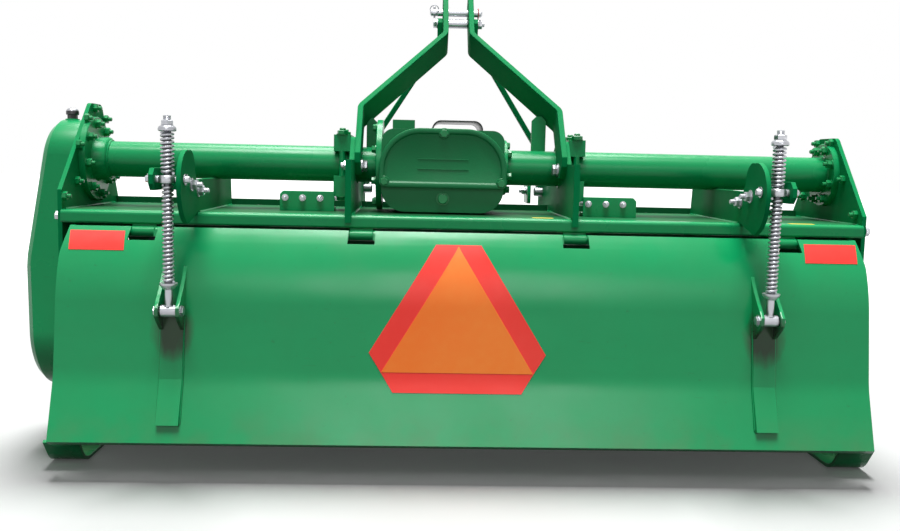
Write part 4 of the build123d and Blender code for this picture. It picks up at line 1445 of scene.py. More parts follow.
    def _bracket_weld(self, side: Side) -> None:
        """Runs the weld down both edges of a bracket's strip and along its foot.

        Args:
            side: The bracket's side.
        """
        low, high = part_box(f"tailboard_bracket_{side.word}")
        shape = Shape()
        middle, half = (low.x + high.x) / 2 - HOOD_X, self.bracket_weld_half
        heights = [self.crease_1[1] - 0.006, self.crease_2[1], low.z + SUNK]
        for way in WAYS:
            edge = [at(middle + way * half, self.rear_depth(z) - self.bracket_weld_proud, z) for z in heights]
            self.bracket_weld.add(shape, edge)
        foot = self.rear_depth(low.z) - self.bracket_weld_proud
        self.bracket_weld.add(shape, [at(middle - half, foot, low.z), at(middle + half, foot, low.z)])
        shape.finish(f"bracket_weld_{side.word}", Coat.GREEN, Body.TAILBOARD)

    def _reflector(self, side: Side) -> None:
        """Lays a plain red reflector near one upper corner.

        Args:
            side: The corner's side.
        """
        bottom, top = self.reflector_heights
        rows = []
        for i in range(self.reflector_rows + 1):
            share = i / self.reflector_rows
            near, far = (side.value * (x - self.reflector_lean * share) for x in self.reflector_ends)
            rows.append((bottom + (top - bottom) * share, near, far))
        shape = self.strip(rows, self.reflector_columns, self.reflector_proud, -self.reflector_sunk)
        shape.finish(f"reflector_{side.word}", Coat.RED, Body.TAILBOARD)


@dataclass
class CrossTube:
    """Half of the cross tube: its tube, the disc at the side plate with its nuts, and its welds."""

    side: Side
    tube_radius: float = 0.0445
    axis_y: float = 0.23
    axis_z: float = 0.7
    tube_start: float = 0.001
    disc_thickness: float = 0.014
    disc_chamfer: float = 0.0016
    disc_bore: float = 0.03
    disc_radii: Point2 = (0.104, 0.080)
    inner_disc_radii: Point2 = (0.114, 0.070)
    nut: Fastener = Fastener(0.019, 0.011, 0.0125, 0.0018, 0.0052, 0.008)
    nut_radii: Point2 = (0.087, 0.066)
    first_nut_deg: Point2 = (7.0, 20.0)
    nut_count: int = 8
    gearbox_bolt: Fastener = Fastener(0.016, 0.009, 0.0105, 0.0016)
    gearbox_bolt_counts: tuple[int, int] = (8, 6)
    gearbox_bolt_inset: float = 0.014
    sleeve_radius: float = 0.0535
    sleeve_length: float = 0.034
    bead: WeldBead = WeldBead(0.0034)
    weld_points: int = 48

    def build(self) -> None:
        """Makes the tube, its discs, sleeve, welds and nuts."""
        node = f"cross_tube_{self.side.word}"
        low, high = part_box(node)
        inward = -self.side.out
        start = Vector((self.side.outermost(low, high), HINGE_Y + self.axis_y, self.axis_z))
        end = Vector((self.side.innermost(low, high), start.y, start.z))
        length = abs(end.x - start.x)
        thick = self.disc_thickness
        shape = Shape()
        shape.lathe(start, inward, self._disc(self.side.pick(self.disc_radii)), 72)
        tube = ((0.0, self.tube_radius), (length - 2 * self.tube_start, self.tube_radius))
        shape.lathe(start + inward * self.tube_start, inward, tube, 64)
        weld_at = thick
        if self.side is Side.LEFT:
            shape.lathe(start + inward * (thick - SUNK), inward, self._sleeve(), 56)
            weld_at += self.sleeve_length
        inner_disc = self.side.pick(self.inner_disc_radii)
        shape.lathe(end, -inward, self._disc(inner_disc), 64)
        for middle in (start + inward * weld_at, end - inward * thick):
            self.bead.add(shape, ring_of(middle, self.tube_radius + SUNK, self.weld_points), True)
        shape.finish(f"cross_tube_painted_{self.side.word}", Coat.GREEN, replaces=(node,))
        seats = ring_of(
            start + inward * thick, self.side.pick(self.nut_radii), self.nut_count, self.side.pick(self.first_nut_deg)
        )
        fasten(f"disc_nuts_{self.side.word}", Coat.BOLT_GREEN, (self.nut, seats, inward, 0.0, 0.35))
        count = self.side.pick(self.gearbox_bolt_counts)
        seats = ring_of(end - inward * thick, inner_disc - self.gearbox_bolt_inset, count, 22.5)
        bolts = (self.gearbox_bolt, seats, -inward, 0.0, 0.3)
        fasten(f"gearbox_disc_bolts_{self.side.word}", Coat.BOLT_GREEN, bolts)

    def _disc(self, radius: float) -> Profile:
        """The profile of a disc with a chamfered face."""
        thick, chamfer = self.disc_thickness, self.disc_chamfer
        return ((0.0, radius), (thick - chamfer, radius), (thick, radius - chamfer), (thick, self.disc_bore))

    def _sleeve(self) -> Profile:
        """The profile of the sleeve inside the left disc.

        Returns:
            Pairs of height and radius.
        """
        radius, length = self.sleeve_radius, self.sleeve_length
        return (
            (0.0, radius + 0.004), (0.006, radius), (length - 0.003, radius), (length, radius - 0.003),
            (length, self.disc_bore),
        )


@dataclass
class SideDrive:
    """The chain case outside the left side plate: its flange, plugs and breather."""

    upper: Point2 = (0.23, 0.7)
    lower: Point2 = (0.23, 0.265)
    upper_radius: float = 0.095
    lower_radius: float = 0.138
    rim_steps: int = 26
    flange_x: float = -0.95
    flange_edge: float = -0.0035
    flange_inner: float = -0.02
    flange_section: tuple[tuple[float, bool], ...] = (
        (0.001, False), (0.0085, False), (0.010, False), (0.010, True), (0.001, True),
    )
    plug: Fastener = Fastener(0.022, 0.009, 0.016, 0.0025)
    filler_place: Point3 = (0.0235, 0.23, 0.6)
    filler_axis: Point3 = (-0.99, 0.0, 0.137)
    level_place: Point3 = (0.0137, 0.295, 0.2)
    breather_place: Point3 = (-0.989, 0.231, 0.792)
    boss_drop: float = 0.012
    boss: Profile = ((0.0, 0.019), (0.014, 0.0185), (0.0175, 0.0165), (0.0175, 0.006))
    breather_rise: float = 0.0055
    breather_hexagon: Profile = ((0.0, 0.0125), (0.0095, 0.0125))
    breather_drum: Profile = ((0.0, 0.0135), (0.0012, 0.0155), (0.009, 0.0155), (0.0105, 0.0145))
    dome_start: float = 0.0196
    dome_radius: float = 0.0148
    dome_height: float = 0.0085
    dome_steps: int = 7

    def build(self) -> None:
        """Dresses the case and adds its flange, plugs and breather."""
        dress("side_drive_case", Coat.GREEN, 0.006, 4)
        self._flange()
        self._breather()
        self._plugs()

    def _rim(self, grow: float) -> list[Point2]:
        """Draws the case's outline at about even steps.

        Args:
            grow: The distance it's grown by.

        Returns:
            Pairs of Y and Z.
        """
        (upper_y, upper_z), (lower_y, lower_z) = self.upper, self.lower
        lean = math.asin((self.lower_radius - self.upper_radius) / (upper_z - lower_z))
        arcs = (
            (upper_y, upper_z, self.upper_radius + grow, -lean, math.pi + 2 * lean),
            (lower_y, lower_z, self.lower_radius + grow, math.pi + lean, math.pi - 2 * lean),
        )
        points = []
        for y, z, radius, first, turn in arcs:
            for i in range(self.rim_steps + 1):
                angle = first + turn * i / self.rim_steps
                points.append((y + radius * math.cos(angle), z + radius * math.sin(angle)))
        return points

    def _flange(self) -> None:
        """Runs the mounting flange round the case."""
        rings = []
        for outer, inner in zip(self._rim(self.flange_edge), self._rim(self.flange_inner)):
            rings.append([
                at(self.flange_x - off, *(inner if is_inner else outer)) for off, is_inner in self.flange_section
            ])
        shape = Shape()
        shape.loft([*rings, rings[0]], caps=False)
        shape.finish("case_flange", Coat.GREEN, sharp_deg=30.0)

    def _breather(self) -> None:
        """Makes the domed breather and the boss that it screws into."""
        foot = at(*self.breather_place)
        boss = Shape()
        boss.lathe(foot - UP * self.boss_drop, UP, self.boss, 32)
        boss.finish("breather_boss", Coat.GREEN)
        seat = foot + UP * self.breather_rise
        drum = Shape()
        drum.lathe(seat, UP, self.breather_hexagon, 6)
        drum.lathe(seat + UP * self.breather_hexagon[-1][0], UP, self.breather_drum, 40)
        drum.finish("breather_body", Coat.BLACK)
        dome = [(0.0, self.dome_radius)]
        for i in range(1, self.dome_steps + 1):
            angle = math.pi / 2 * i / self.dome_steps
            radius = max(0.0004, self.dome_radius * math.cos(angle))
            dome.append((self.dome_height * math.sin(angle), radius))
        cap = Shape()
        cap.lathe(seat + UP * self.dome_start, UP, dome, 40)
        cap.finish("breather_cap", Coat.ZINC)

    def _plugs(self) -> None:
        """Sets the filler and level plugs on the case's outer face."""
        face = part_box("side_drive_case")[0].x - HOOD_X
        rows = [
            (self.plug, [at(face + x, y, z)], axis, turn, 0.0)
            for (x, y, z), axis, turn in (
                (self.filler_place, Vector(self.filler_axis), 0.0), (self.level_place, -ACROSS, 0.4)
            )
        ]
        fasten("case_plugs", Coat.BOLT_GREEN, *rows)


@dataclass
class Gearbox:
    """The gearbox: its cast housing, the rear cover with its rim and bosses, plugs, seal and guard."""

    middle_x: float = -0.06
    cover_half: float = 0.1555
    cover_low: float = 0.6475
    cover_high: float = 0.7915
    crown_radius: float = 0.101
    foot_radius: float = 0.022
    corner_steps: int = 20
    rim: float = 0.0125
    edge: float = 0.0022
    recess: float = 0.0052
    boss_places: tuple[Point2, ...] = ((-0.059, 0.7795), (-0.2025, 0.6615), (0.083, 0.6615))
    boss_radius: float = 0.0135
    boss_sunk: float = 0.002
    outer_corner: float = 0.35
    inner_corner: Point2 = (0.3, 0.4)
    groove: Point2 = (0.0012, 0.0032)
    boss_edge: Point3 = (0.0012, 0.0003, 0.0014)
    rib_sunk: float = 0.0016
    rib_round: float = 0.0007
    cover_bolt: Fastener = Fastener(0.0175, 0.0055)
    rib_heights: Point2 = (0.717, 0.693)
    rib_half: float = 0.062
    rib_half_height: float = 0.0011
    plug_place: Point2 = (-0.059, 0.621)
    plug_collar: Profile = ((0.0, 0.0165), (0.0026, 0.0165), (0.0032, 0.0155), (0.0032, 0.004))
    plug_head: Profile = ((0.0026, 0.0122), (0.0095, 0.0122), (0.0112, 0.0102))
    drain_y: float = 0.23
    drain_head: Profile = ((0.0, 0.0125), (0.0105, 0.0125), (0.0125, 0.0105))
    seal_section: Profile = (
        (-0.004, 0.0495), (0.004, 0.0495), (0.006, 0.0475), (0.006, 0.0265), (0.003, 0.0255), (-0.004, 0.0255),
        (-0.004, 0.0495),
    )
    seal_bolt: Fastener = Fastener(0.013, 0.006)
    seal_bolt_count: int = 6
    seal_bolt_radius: float = 0.0375
    side_plates: tuple[tuple[float, ...], ...] = ((-0.254, -0.226, 0.71, 0.82), (0.172, 0.209, 0.72, 0.834))
    side_plate_y: float = 0.262
    side_plate_corner: float = 0.012
    side_plate_thickness: float = 0.008
    guard_bolt: Fastener = Fastener(0.015, 0.007, 0.0115, 0.0016)
    guard_bolt_inset: float = 0.022
    guard_bolt_low: float = 0.03
    guard_bolt_high: float = 0.045

    def build(self) -> None:
        """Makes the cover and its fasteners and dresses the housing, shaft and guard."""
        # The housing, cover and seal ring take the darker green, which is painted shade.
        dress("gearbox_housing", Coat.SHADE_GREEN, 0.003, 3)
        dress("input_guard", Coat.BLACK, 0.0012)
        dress("input_shaft", Coat.MACHINED, 0.0006)
        self._cover()
        self._plugs()
        self._nose()
        self._side_plates()
        self._guard_bolts()

    def _outline(self, inset: float, y: float) -> list[Vector]:
        """The cover's outline, drawn in by a distance, at a depth.

        Args:
            inset: How far the outline is drawn in.
            y: Its Y in the frame.

        Returns:
            The points, from the lower right corner up and round.
        """
        half = self.cover_half - inset
        low, high = self.cover_low + inset, self.cover_high - inset
        foot, crown = max(0.002, self.foot_radius - inset), self.crown_radius - inset
        corners = (
            (half - foot, low + foot, foot, -90.0), (half - crown, high - crown, crown, 0.0),
            (crown - half, high - crown, crown, 90.0), (foot - half, low + foot, foot, 180.0),
        )
        points = []
        for centre_x, centre_z, radius, first in corners:
            for i in range(self.corner_steps + 1):
                angle = math.radians(first + 90.0 * i / self.corner_steps)
                x = self.middle_x + centre_x + radius * math.cos(angle)
                points.append(Vector((HOOD_X + x, y, centre_z + radius * math.sin(angle))))
        return points

    def _cover(self) -> None:
        """Makes the cover: a raised rim round a sunk panel, bosses with their bolts and two plain ribs."""
        low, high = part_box("gearbox_rear_cover")
        shape = Shape()
        edge, rim, sunk = self.edge, self.rim, low.y + self.recess
        corner, (back, drop), (start, end) = edge * self.outer_corner, self.inner_corner, self.groove
        steps = (
            (0.0, high.y), (0.0, low.y + edge), (corner, low.y + corner), (edge, low.y), (rim - edge, low.y),
            (rim - edge * back, low.y + edge * drop), (rim + start, sunk - start), (rim + end, sunk),
        )
        shape.loft([self._outline(inset, y) for inset, y in steps])
        foot, radius = high.y - self.boss_sunk, self.boss_radius
        top, (drop, proud, bevel) = foot - low.y, self.boss_edge
        boss = ((0.0, radius), (top - drop, radius), (top + proud, radius - bevel))
        for x, z in self.boss_places:
            shape.lathe(Vector((HOOD_X + x, foot, z)), -FORWARD, boss, 32)
        for z in self.rib_heights:
            start, end = HOOD_X + self.middle_x - self.rib_half, HOOD_X + self.middle_x + self.rib_half
            shape.rounded_block(
                Vector((start, sunk - self.rib_sunk, z - self.rib_half_height)),
                Vector((end, sunk + SUNK, z + self.rib_half_height)), self.rib_round, 2,
            )
        shape.finish("gearbox_cover_cast", Coat.SHADE_GREEN, sharp_deg=PLATE_DEG, replaces=("gearbox_rear_cover",))
        seats = [Vector((HOOD_X + x, low.y, z)) for x, z in self.boss_places]
        fasten("cover_bolts", Coat.BOLT_GREEN, (self.cover_bolt, seats, -FORWARD, 0.0, 0.4))

    def _plugs(self) -> None:
        """Sets the level plug in the sump's rear wall and the drain plug under it."""
        low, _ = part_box("gearbox_housing")
        x, z = self.plug_place
        seat = Vector((HOOD_X + x, low.y, z))
        shape = Shape()
        shape.lathe(seat, -FORWARD, self.plug_collar, 32)
        shape.lathe(seat, -FORWARD, self.plug_head, 28)
        shape.lathe(at(x, self.drain_y, low.z) + UP * SUNK, -UP, self.drain_head, 6)
        shape.finish("gearbox_plugs", Coat.BOLT_GREEN, sharp_deg=30.0)

    def _nose(self) -> None:
        """Makes the seal and its bolted ring at the input shaft's housing."""
        shaft = centre_of("input_shaft")
        middle = Vector((shaft.x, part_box("gearbox_housing")[1].y, shaft.z))
        ring = Shape()
        ring.loft([
            ring_of(middle + FORWARD * y, radius, 48, start=ACROSS) for y, radius in self.seal_section
        ], caps=False)
        ring.finish("input_seal_ring", Coat.SHADE_GREEN)
        face, count = middle + FORWARD * 0.006, self.seal_bolt_count
        seats = ring_of(face, self.seal_bolt_radius, count, start=ACROSS)
        fasten("input_seal_bolts", Coat.BOLT_GREEN, (self.seal_bolt, seats, FORWARD, 0.0, math.tau / count))

    def _side_plates(self) -> None:
        """Stands the guard's two folded support plates beside the housing."""
        shape = Shape()
        corner, y = self.side_plate_corner, self.side_plate_y
        for x0, x1, z0, z1 in self.side_plates:
            outline = (
                (x0, z0), (x1, z0), (x1, z1 - corner), (x1 - corner, z1), (x0 + corner, z1), (x0, z1 - corner)
            )
            shape.slab([at(x, y, z) for x, z in outline], FORWARD * self.side_plate_thickness)
        shape.finish("gearbox_side_plates", Coat.GREEN, sharp_deg=FASTENER_DEG)

    def _guard_bolts(self) -> None:
        """Sets the guard's bolts on both of its sides."""
        low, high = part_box("input_guard")
        y, zs = low.y + self.guard_bolt_inset, (low.z + self.guard_bolt_low, high.z - self.guard_bolt_high)
        rows = [
            (self.guard_bolt, [Vector((x, y, z)) for z in zs], axis, 0.2, 0.0)
            for x, axis in ((low.x, -ACROSS), (high.x, ACROSS))
        ]
        fasten("guard_bolts", Coat.ZINC, *rows)


@dataclass
class Headstock:
    """The three-point hitch: cheeks, clamps, mast and legs, with their bolts, welds and pins."""

    middle_x: float = -0.016
    cheek_inner: float = 0.258
    cheek_thickness: float = 0.014
    mast_foot_inner: float = 0.244
    cheek_bolt_place: Point2 = (0.152, 0.697)
    cheek_head: Fastener = Fastener(0.024, 0.012, 0.0165, 0.003)
    cheek_nut: Fastener = Fastener(0.022, 0.013, 0.0155, 0.003, 0.0075, 0.007)
    stub_place: Point2 = (0.54, 0.632)
    stub: Profile = ((0.0, 0.0135), (0.021, 0.0135), (0.024, 0.0105))
    stub_nut: Fastener = Fastener(0.02, 0.012, 0.0135, 0.002, 0.0065, 0.008)
    hitch_plate_offs: Point2 = (0.036, 0.046)
    hitch_plate_low: Point2 = (-0.03, -0.034)
    hitch_plate_high: Point2 = (0.06, 0.02)
    pin_shoulder: float = 0.0695
    pin_radius: float = 0.011
    pin_tip_radius: float = 0.0075
    pin_hole_inset: float = 0.018
    pin_hole: Profile = ((0.0, 0.0048), (0.0224, 0.0048))
    pin_collar_inset: float = 0.055
    pin_collar: Profile = ((0.0, 0.0112), (0.001, 0.0122), (0.004, 0.0122), (0.005, 0.0112))
    pin_hex_radii: Point2 = (0.0238, 0.0208)
    pin_edge: float = 0.003
    pin_sunk: float = 0.002
    clamp_bolts_y: Point2 = (0.177, 0.283)
    clamp_nut: Fastener = Fastener(0.024, 0.0085, 0.0155, 0.002, 0.0078, 0.006)
    clamp_head: Fastener = Fastener(0.024, 0.0085, 0.0155, 0.002)
    foot_bolt: Fastener = Fastener(0.0125, 0.007, 0.0082, 0.0014, 0.0035, 0.005)
    foot_bolts: tuple[tuple[float, ...], tuple[float, ...]] = ((0.345, 0.388, 0.431), (0.323, 0.367, 0.41))
    foot_height: float = 0.6155
    foot_face: float = 0.15
    deck_top: float = 0.583
    bead: WeldBead = WeldBead(0.003)
    cheek_weld_ends: Point2 = (0.012, 0.405)
    tube_axis: Point2 = (0.23, 0.7)
    tube_weld_radius: float = 0.0455
    spacer: Point2 = (0.5002, 1.0963)
    spacer_end: Profile = ((0.0, 0.0105), (0.0016, 0.0126))
    spacer_bolt: Fastener = Fastener(0.022, 0.011, 0.0145, 0.002)
    spacer_nut: Fastener = Fastener(0.022, 0.011, 0.0145, 0.002, 0.0068, 0.006)
    leg_outer: float = 0.056
    top_pin: Point2 = (0.505, 1.126)
    top_pin_radius: float = 0.0094
    top_pin_head: float = 0.0285
    top_pin_foot: Point2 = (0.003, 0.6)
    top_pin_tip: Point2 = (0.004, 0.6)
    lynch_inset: float = 0.012
    lynch_drop: float = 0.014
    lynch: Profile = ((0.0, 0.0022), (0.002, 0.0032), (0.03, 0.0032), (0.031, 0.0025))
    lynch_ring_place: Point2 = (-0.011, 0.0075)
    lynch_ring_radii: Point2 = (0.0115, 0.0015)
    keeper_inset: float = 0.011
    keeper_radii: Point2 = (0.0135, 0.0016)
    keeper_bar_radius: float = 0.0018
    ring_points: int = 28

    def build(self) -> None:
        """Dresses the plates and bars and adds what fastens them."""
        # The cheeks and mast take the darker matt green, whose darker colour is painted shade.
        coats = (
            ("cheek_plate", Coat.PLATE_GREEN, 0.0016), ("tube_clamp", Coat.GREEN, 0.0016),
            ("mast_bar", Coat.PLATE_GREEN, 0.0016), ("mast_leg", Coat.PLATE_GREEN, 0.0014),
            ("foot_plate", Coat.GREEN, 0.0014),
        )
        for side in Side:
            for node, coat, bevel in coats:
                dress(f"{node}_{side.word}", coat, bevel)
            self._hitch_pin(side)
            self._cheek_bolts(side)
            self._clamp_nuts(side)
            self._foot_bolts(side)
            self._welds(side)
        self._mast_head()
        self._top_link_pin()

    def _hitch_pin(self, side: Side) -> None:
        """Makes one lower hitch pin: hexagonal shoulder, turned pin with a cross hole and chamfered tip.

        Args:
            side: The side that it stands out to.
        """
        node = f"lower_hitch_pin_{side.word}"
        low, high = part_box(node)
        foot = Vector((side.innermost(low, high), (low.y + high.y) / 2, (low.z + high.z) / 2))
        length = high.x - low.x
        out, shoulder, radius = side.out, self.pin_shoulder, self.pin_radius
        shape = Shape()
        (corner, face), edge, sunk = self.pin_hex_radii, self.pin_edge, self.pin_sunk
        shape.lathe(foot, out, ((0.0, corner), (shoulder - edge, corner), (shoulder, face)), 6, math.pi / 2)
        reach = length - shoulder
        pin = ((0.0, radius), (reach - edge, radius), (reach + sunk, self.pin_tip_radius))
        shape.lathe(foot + out * (shoulder - sunk), out, pin, 32)
        hole = foot + out * (length - self.pin_hole_inset)
        shape.lathe(hole - UP * (self.pin_hole[-1][0] / 2), UP, self.pin_hole, 20)
        shape.lathe(hole - out * self.pin_collar_inset, out, self.pin_collar, 32)
        shape.finish(f"hitch_pin_turned_{side.word}", Coat.ZINC, replaces=(node,))

    def _cheek_bolts(self, side: Side) -> None:
        """Sets the zinc bolts through one cheek and the hitch pin's inner nut and plate.

        Args:
            side: The cheek's side.
        """
        inner = self.middle_x + side.value * self.cheek_inner
        outer = inner + side.value * self.cheek_thickness
        foot = self.middle_x + side.value * self.mast_foot_inner
        inward = -side.out
        shape = Shape()
        self.cheek_head.add(shape, at(foot, *self.cheek_bolt_place), inward, 0.3)
        self.cheek_nut.add(shape, at(outer, *self.cheek_bolt_place), side.out, 0.1)
        seat = at(inner, *self.stub_place)
        shape.lathe(seat, inward, self.stub, 28)
        near, far = self.hitch_plate_offs
        self.stub_nut.add(shape, seat + inward * far + UP * self.pin_sunk, inward, 0.2)
        shape.finish(f"cheek_bolts_{side.word}", Coat.ZINC, sharp_deg=FASTENER_DEG)
        xs = sorted((seat.x + inward.x * near, seat.x + inward.x * far))
        corners = [
            Vector((x, seat.y + y, seat.z + z))
            for x, (y, z) in zip(xs, (self.hitch_plate_low, self.hitch_plate_high))
        ]
        plate = Shape()
        plate.rounded_block(*corners, 0.002, 2)
        plate.finish(f"inner_hitch_plate_{side.word}", Coat.GREEN, sharp_deg=FASTENER_DEG)

    def _clamp_nuts(self, side: Side) -> None:
        """Sets the nuts over and the heads under one clamp's blocks.

        Args:
            side: The clamp's side.
        """
        low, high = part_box(f"tube_clamp_{side.word}")
        rows = [
            (kind, [Vector(((low.x + high.x) / 2, HINGE_Y + y, z)) for y in self.clamp_bolts_y], axis, 0.3, 1.0)
            for kind, z, axis in ((self.clamp_nut, high.z, UP), (self.clamp_head, low.z, -UP))
        ]
        fasten(f"clamp_nuts_{side.word}", Coat.BOLT_GREEN, *rows)

    def _foot_bolts(self, side: Side) -> None:
        """Sets the three bolts in one foot bracket's upright leg.

        Args:
            side: The bracket's side.
        """
        places = [self.middle_x + side.value * x for x in side.pick(self.foot_bolts)]
        seats = [at(x, self.foot_face, self.foot_height) for x in places]
        fasten(f"foot_bolts_{side.word}", Coat.ZINC, (self.foot_bolt, seats, -FORWARD, 0.0, 0.25))

    def _welds(self, side: Side) -> None:
        """Runs the welds along both edges of one cheek's foot and round it on the tube.

        Args:
            side: The cheek's side.
        """
        inner = self.middle_x + side.value * (self.cheek_inner - HAIR)
        outer = self.middle_x + side.value * (self.cheek_inner + self.cheek_thickness + HAIR)
        shape = Shape()
        for x in (inner, outer):
            self.bead.add(shape, [at(x, y, self.deck_top) for y in self.cheek_weld_ends])
        self.bead.add(shape, ring_of(at(inner, *self.tube_axis), self.tube_weld_radius, 40), True)
        shape.finish(f"cheek_welds_{side.word}", Coat.GREEN)

    def _mast_head(self) -> None:
        """Makes the spacer with the bolt through it, its head and its nut."""
        low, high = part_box("mast_spacer")
        middle, half = (low + high) / 2, (high.x - low.x) / 2
        y, z = self.spacer
        shape = Shape()
        shape.lathe(Vector((middle.x - half, HINGE_Y + y, z)), ACROSS, mirrored(self.spacer_end, 2 * half), 32)
        self.spacer_bolt.add(shape, at(self.middle_x - self.leg_outer, y, z), -ACROSS, 0.2)
        self.spacer_nut.add(shape, at(self.middle_x + self.leg_outer, y, z), ACROSS, 0.5)
        shape.finish("mast_spacer_bolt", Coat.ZINC, sharp_deg=FASTENER_DEG, replaces=("mast_spacer",))

    def _top_link_pin(self) -> None:
        """Makes the top link pin with its handle and the lynch pin that keeps it."""
        low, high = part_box("top_link_pin")
        y, z = self.top_pin
        foot = Vector((low.x, HINGE_Y + y, z))
        length, radius = high.x - low.x, self.top_pin_radius
        shape = Shape()
        (rise, foot_size), (drop, tip_size) = self.top_pin_foot, self.top_pin_tip
        pin = (
            (0.0, radius * foot_size), (rise, radius), (self.top_pin_head, radius), (length - drop, radius),
            (length, radius * tip_size),
        )
        shape.lathe(foot, ACROSS, pin, 32)
        lynch = foot + ACROSS * self.lynch_inset
        shape.lathe(lynch - UP * self.lynch_drop, UP, self.lynch, 16)
        ring_y, ring_z = self.lynch_ring_place
        ring_radius, wire = self.lynch_ring_radii
        middle = lynch + UP * ring_z + FORWARD * ring_y
        shape.sweep(ring_of(middle, ring_radius, self.ring_points, start=ACROSS), wire, 8, True)
        shape.finish("top_link_pin_turned", Coat.ZINC, replaces=("top_link_pin",))
        keep = foot + ACROSS * (length - self.keeper_inset)
        loop_radius, wire = self.keeper_radii
        red = Shape()
        red.sweep(ring_of(keep, loop_radius, self.ring_points), wire, 8, True)
        red.lathe(
            keep - UP * loop_radius, UP, mirrored(((0.0, self.keeper_bar_radius),), 2 * loop_radius), 12
        )
        red.finish("top_link_keeper", Coat.RED_RING)


@dataclass
class Hood:
    """The hood: deck, rail, side plates, spring brackets and skids, with bolts, welds and blank labels."""

    half: float = 0.94
    plate: float = 0.01
    deck_top: float = 0.583
    plate_nut: Fastener = Fastener(0.019, 0.01, 0.0, 0.0, 0.0052, 0.009)
    plate_nuts: tuple[tuple[Point2, ...], tuple[Point2, ...]] = (
        (
            (0.247, 0.826), (0.179, 0.799), (0.325, 0.802), (0.118, 0.734), (0.107, 0.646), (0.384, 0.651),
            (0.021, 0.613), (0.268, 0.604),
        ),
        ((0.287, 0.7815), (0.205, 0.7815), (0.125, 0.69), (0.045, 0.607), (0.36, 0.64)),
    )
    rail_bolt: Fastener = Fastener(0.019, 0.009, 0.013, 0.002)
    rail_bolts: tuple[Point2, Point2] = ((0.030, 0.5665), (0.021, 0.568))
    fin_faces: Point2 = (-0.6265, 0.6405)
    fin_thickness: float = 0.01
    fin_bolts: tuple[Point2, ...] = ((-0.062, 0.648), (0.005, 0.633))
    fin_nut: Fastener = Fastener(0.021, 0.012, 0.015, 0.0022, 0.006, 0.011)
    fin_head: Fastener = Fastener(0.021, 0.009, 0.015, 0.0022)
    skid_bolt: Fastener = Fastener(0.019, 0.0085, 0.013, 0.0018)
    skid_bolts_y: tuple[float, ...] = (0.06, 0.22, 0.38)
    skid_bolts_z: float = 0.085
    bead: WeldBead = WeldBead(0.0028)
    plate_weld_start: float = 0.03
    fin_weld_start: float = 0.012
    weld_end: float = 0.4
    labels: tuple[tuple[float, ...], ...] = ((0.767, 0.827, 0.014, 0.032), (0.155, 0.205, 0.042, 0.06))
    label_sunk: float = 0.0004
    label_proud: float = 0.0006

    def build(self) -> None:
        """Dresses the sheets and adds their bolts, welds and labels."""
        # The deck's dark green is painted shade under real dust.
        dress("hood_deck", Coat.DECK_GREEN)
        dress("rear_rail", Coat.GREEN)
        for side in Side:
            # The side plates and spring brackets take the darker matt green, whose darker colour is painted shade.
            dress(f"side_plate_{side.word}", Coat.PLATE_GREEN, 0.0016)
            dress(f"spring_bracket_{side.word}", Coat.PLATE_GREEN, 0.0014)
            dress(f"skid_{side.word}", Coat.GREEN, 0.0012)
            self._bolts(side)
            self._welds(side)
        self._labels()

    def _bolts(self, side: Side) -> None:
        """Sets one side's nuts and bolts in the side plate, the rail, the spring bracket and the skid.

        Args:
            side: The side.
        """
        inner, outer = side.value * self.half, side.value * (self.half + self.plate)
        front = side.pick(self.fin_faces)
        back = front + side.value * self.fin_thickness
        skid = side.outermost(*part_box(f"skid_{side.word}"))
        nuts = [at(inner, y, z) for y, z in side.pick(self.plate_nuts)]
        fasten(f"plate_nuts_{side.word}", Coat.BOLT_GREEN, (self.plate_nut, nuts, -side.out, 0.0, 0.4))
        rail = [at(outer, *side.pick(self.rail_bolts))]
        fasten(f"rail_bolt_{side.word}", Coat.ZINC, (self.rail_bolt, rail, side.out, 0.3, 0.0))
        fasten(
            f"fin_bolts_{side.word}", Coat.ZINC,
            (self.fin_nut, [at(front, y, z) for y, z in self.fin_bolts], -side.out, 0.0, 0.3),
            (self.fin_head, [at(back, y, z) for y, z in self.fin_bolts], side.out, 0.0, 0.3),
        )
        seats = [Vector((skid, HINGE_Y + y, self.skid_bolts_z)) for y in self.skid_bolts_y]
        fasten(f"skid_bolts_{side.word}", Coat.DARK_BOLT, (self.skid_bolt, seats, side.out, 0.0, 0.4))

    def _welds(self, side: Side) -> None:
        """Runs the welds at one side plate's foot and along both sides of the spring bracket's.

        Args:
            side: The plate's side.
        """
        face = side.pick(self.fin_faces)
        runs = (
            (side.value * (self.half - 0.0008), self.plate_weld_start),
            (face - side.value * HAIR, self.fin_weld_start),
            (face + side.value * (self.fin_thickness + HAIR), self.fin_weld_start),
        )
        shape = Shape()
        for x, start in runs:
            self.bead.add(shape, [at(x, start, self.deck_top), at(x, self.weld_end, self.deck_top)])
        shape.finish(f"hood_welds_{side.word}", Coat.GREEN)

    def _labels(self) -> None:
        """Lays the two blank yellow labels on the deck."""
        shape = Shape()
        bottom, top = self.deck_top - self.label_sunk, self.deck_top + self.label_proud
        for x0, x1, y0, y1 in self.labels:
            shape.rounded_block(at(x0, y0, bottom), at(x1, y1, top), 0.0003, 1)
        shape.finish("blank_deck_labels", Coat.YELLOW, sharp_deg=FASTENER_DEG)


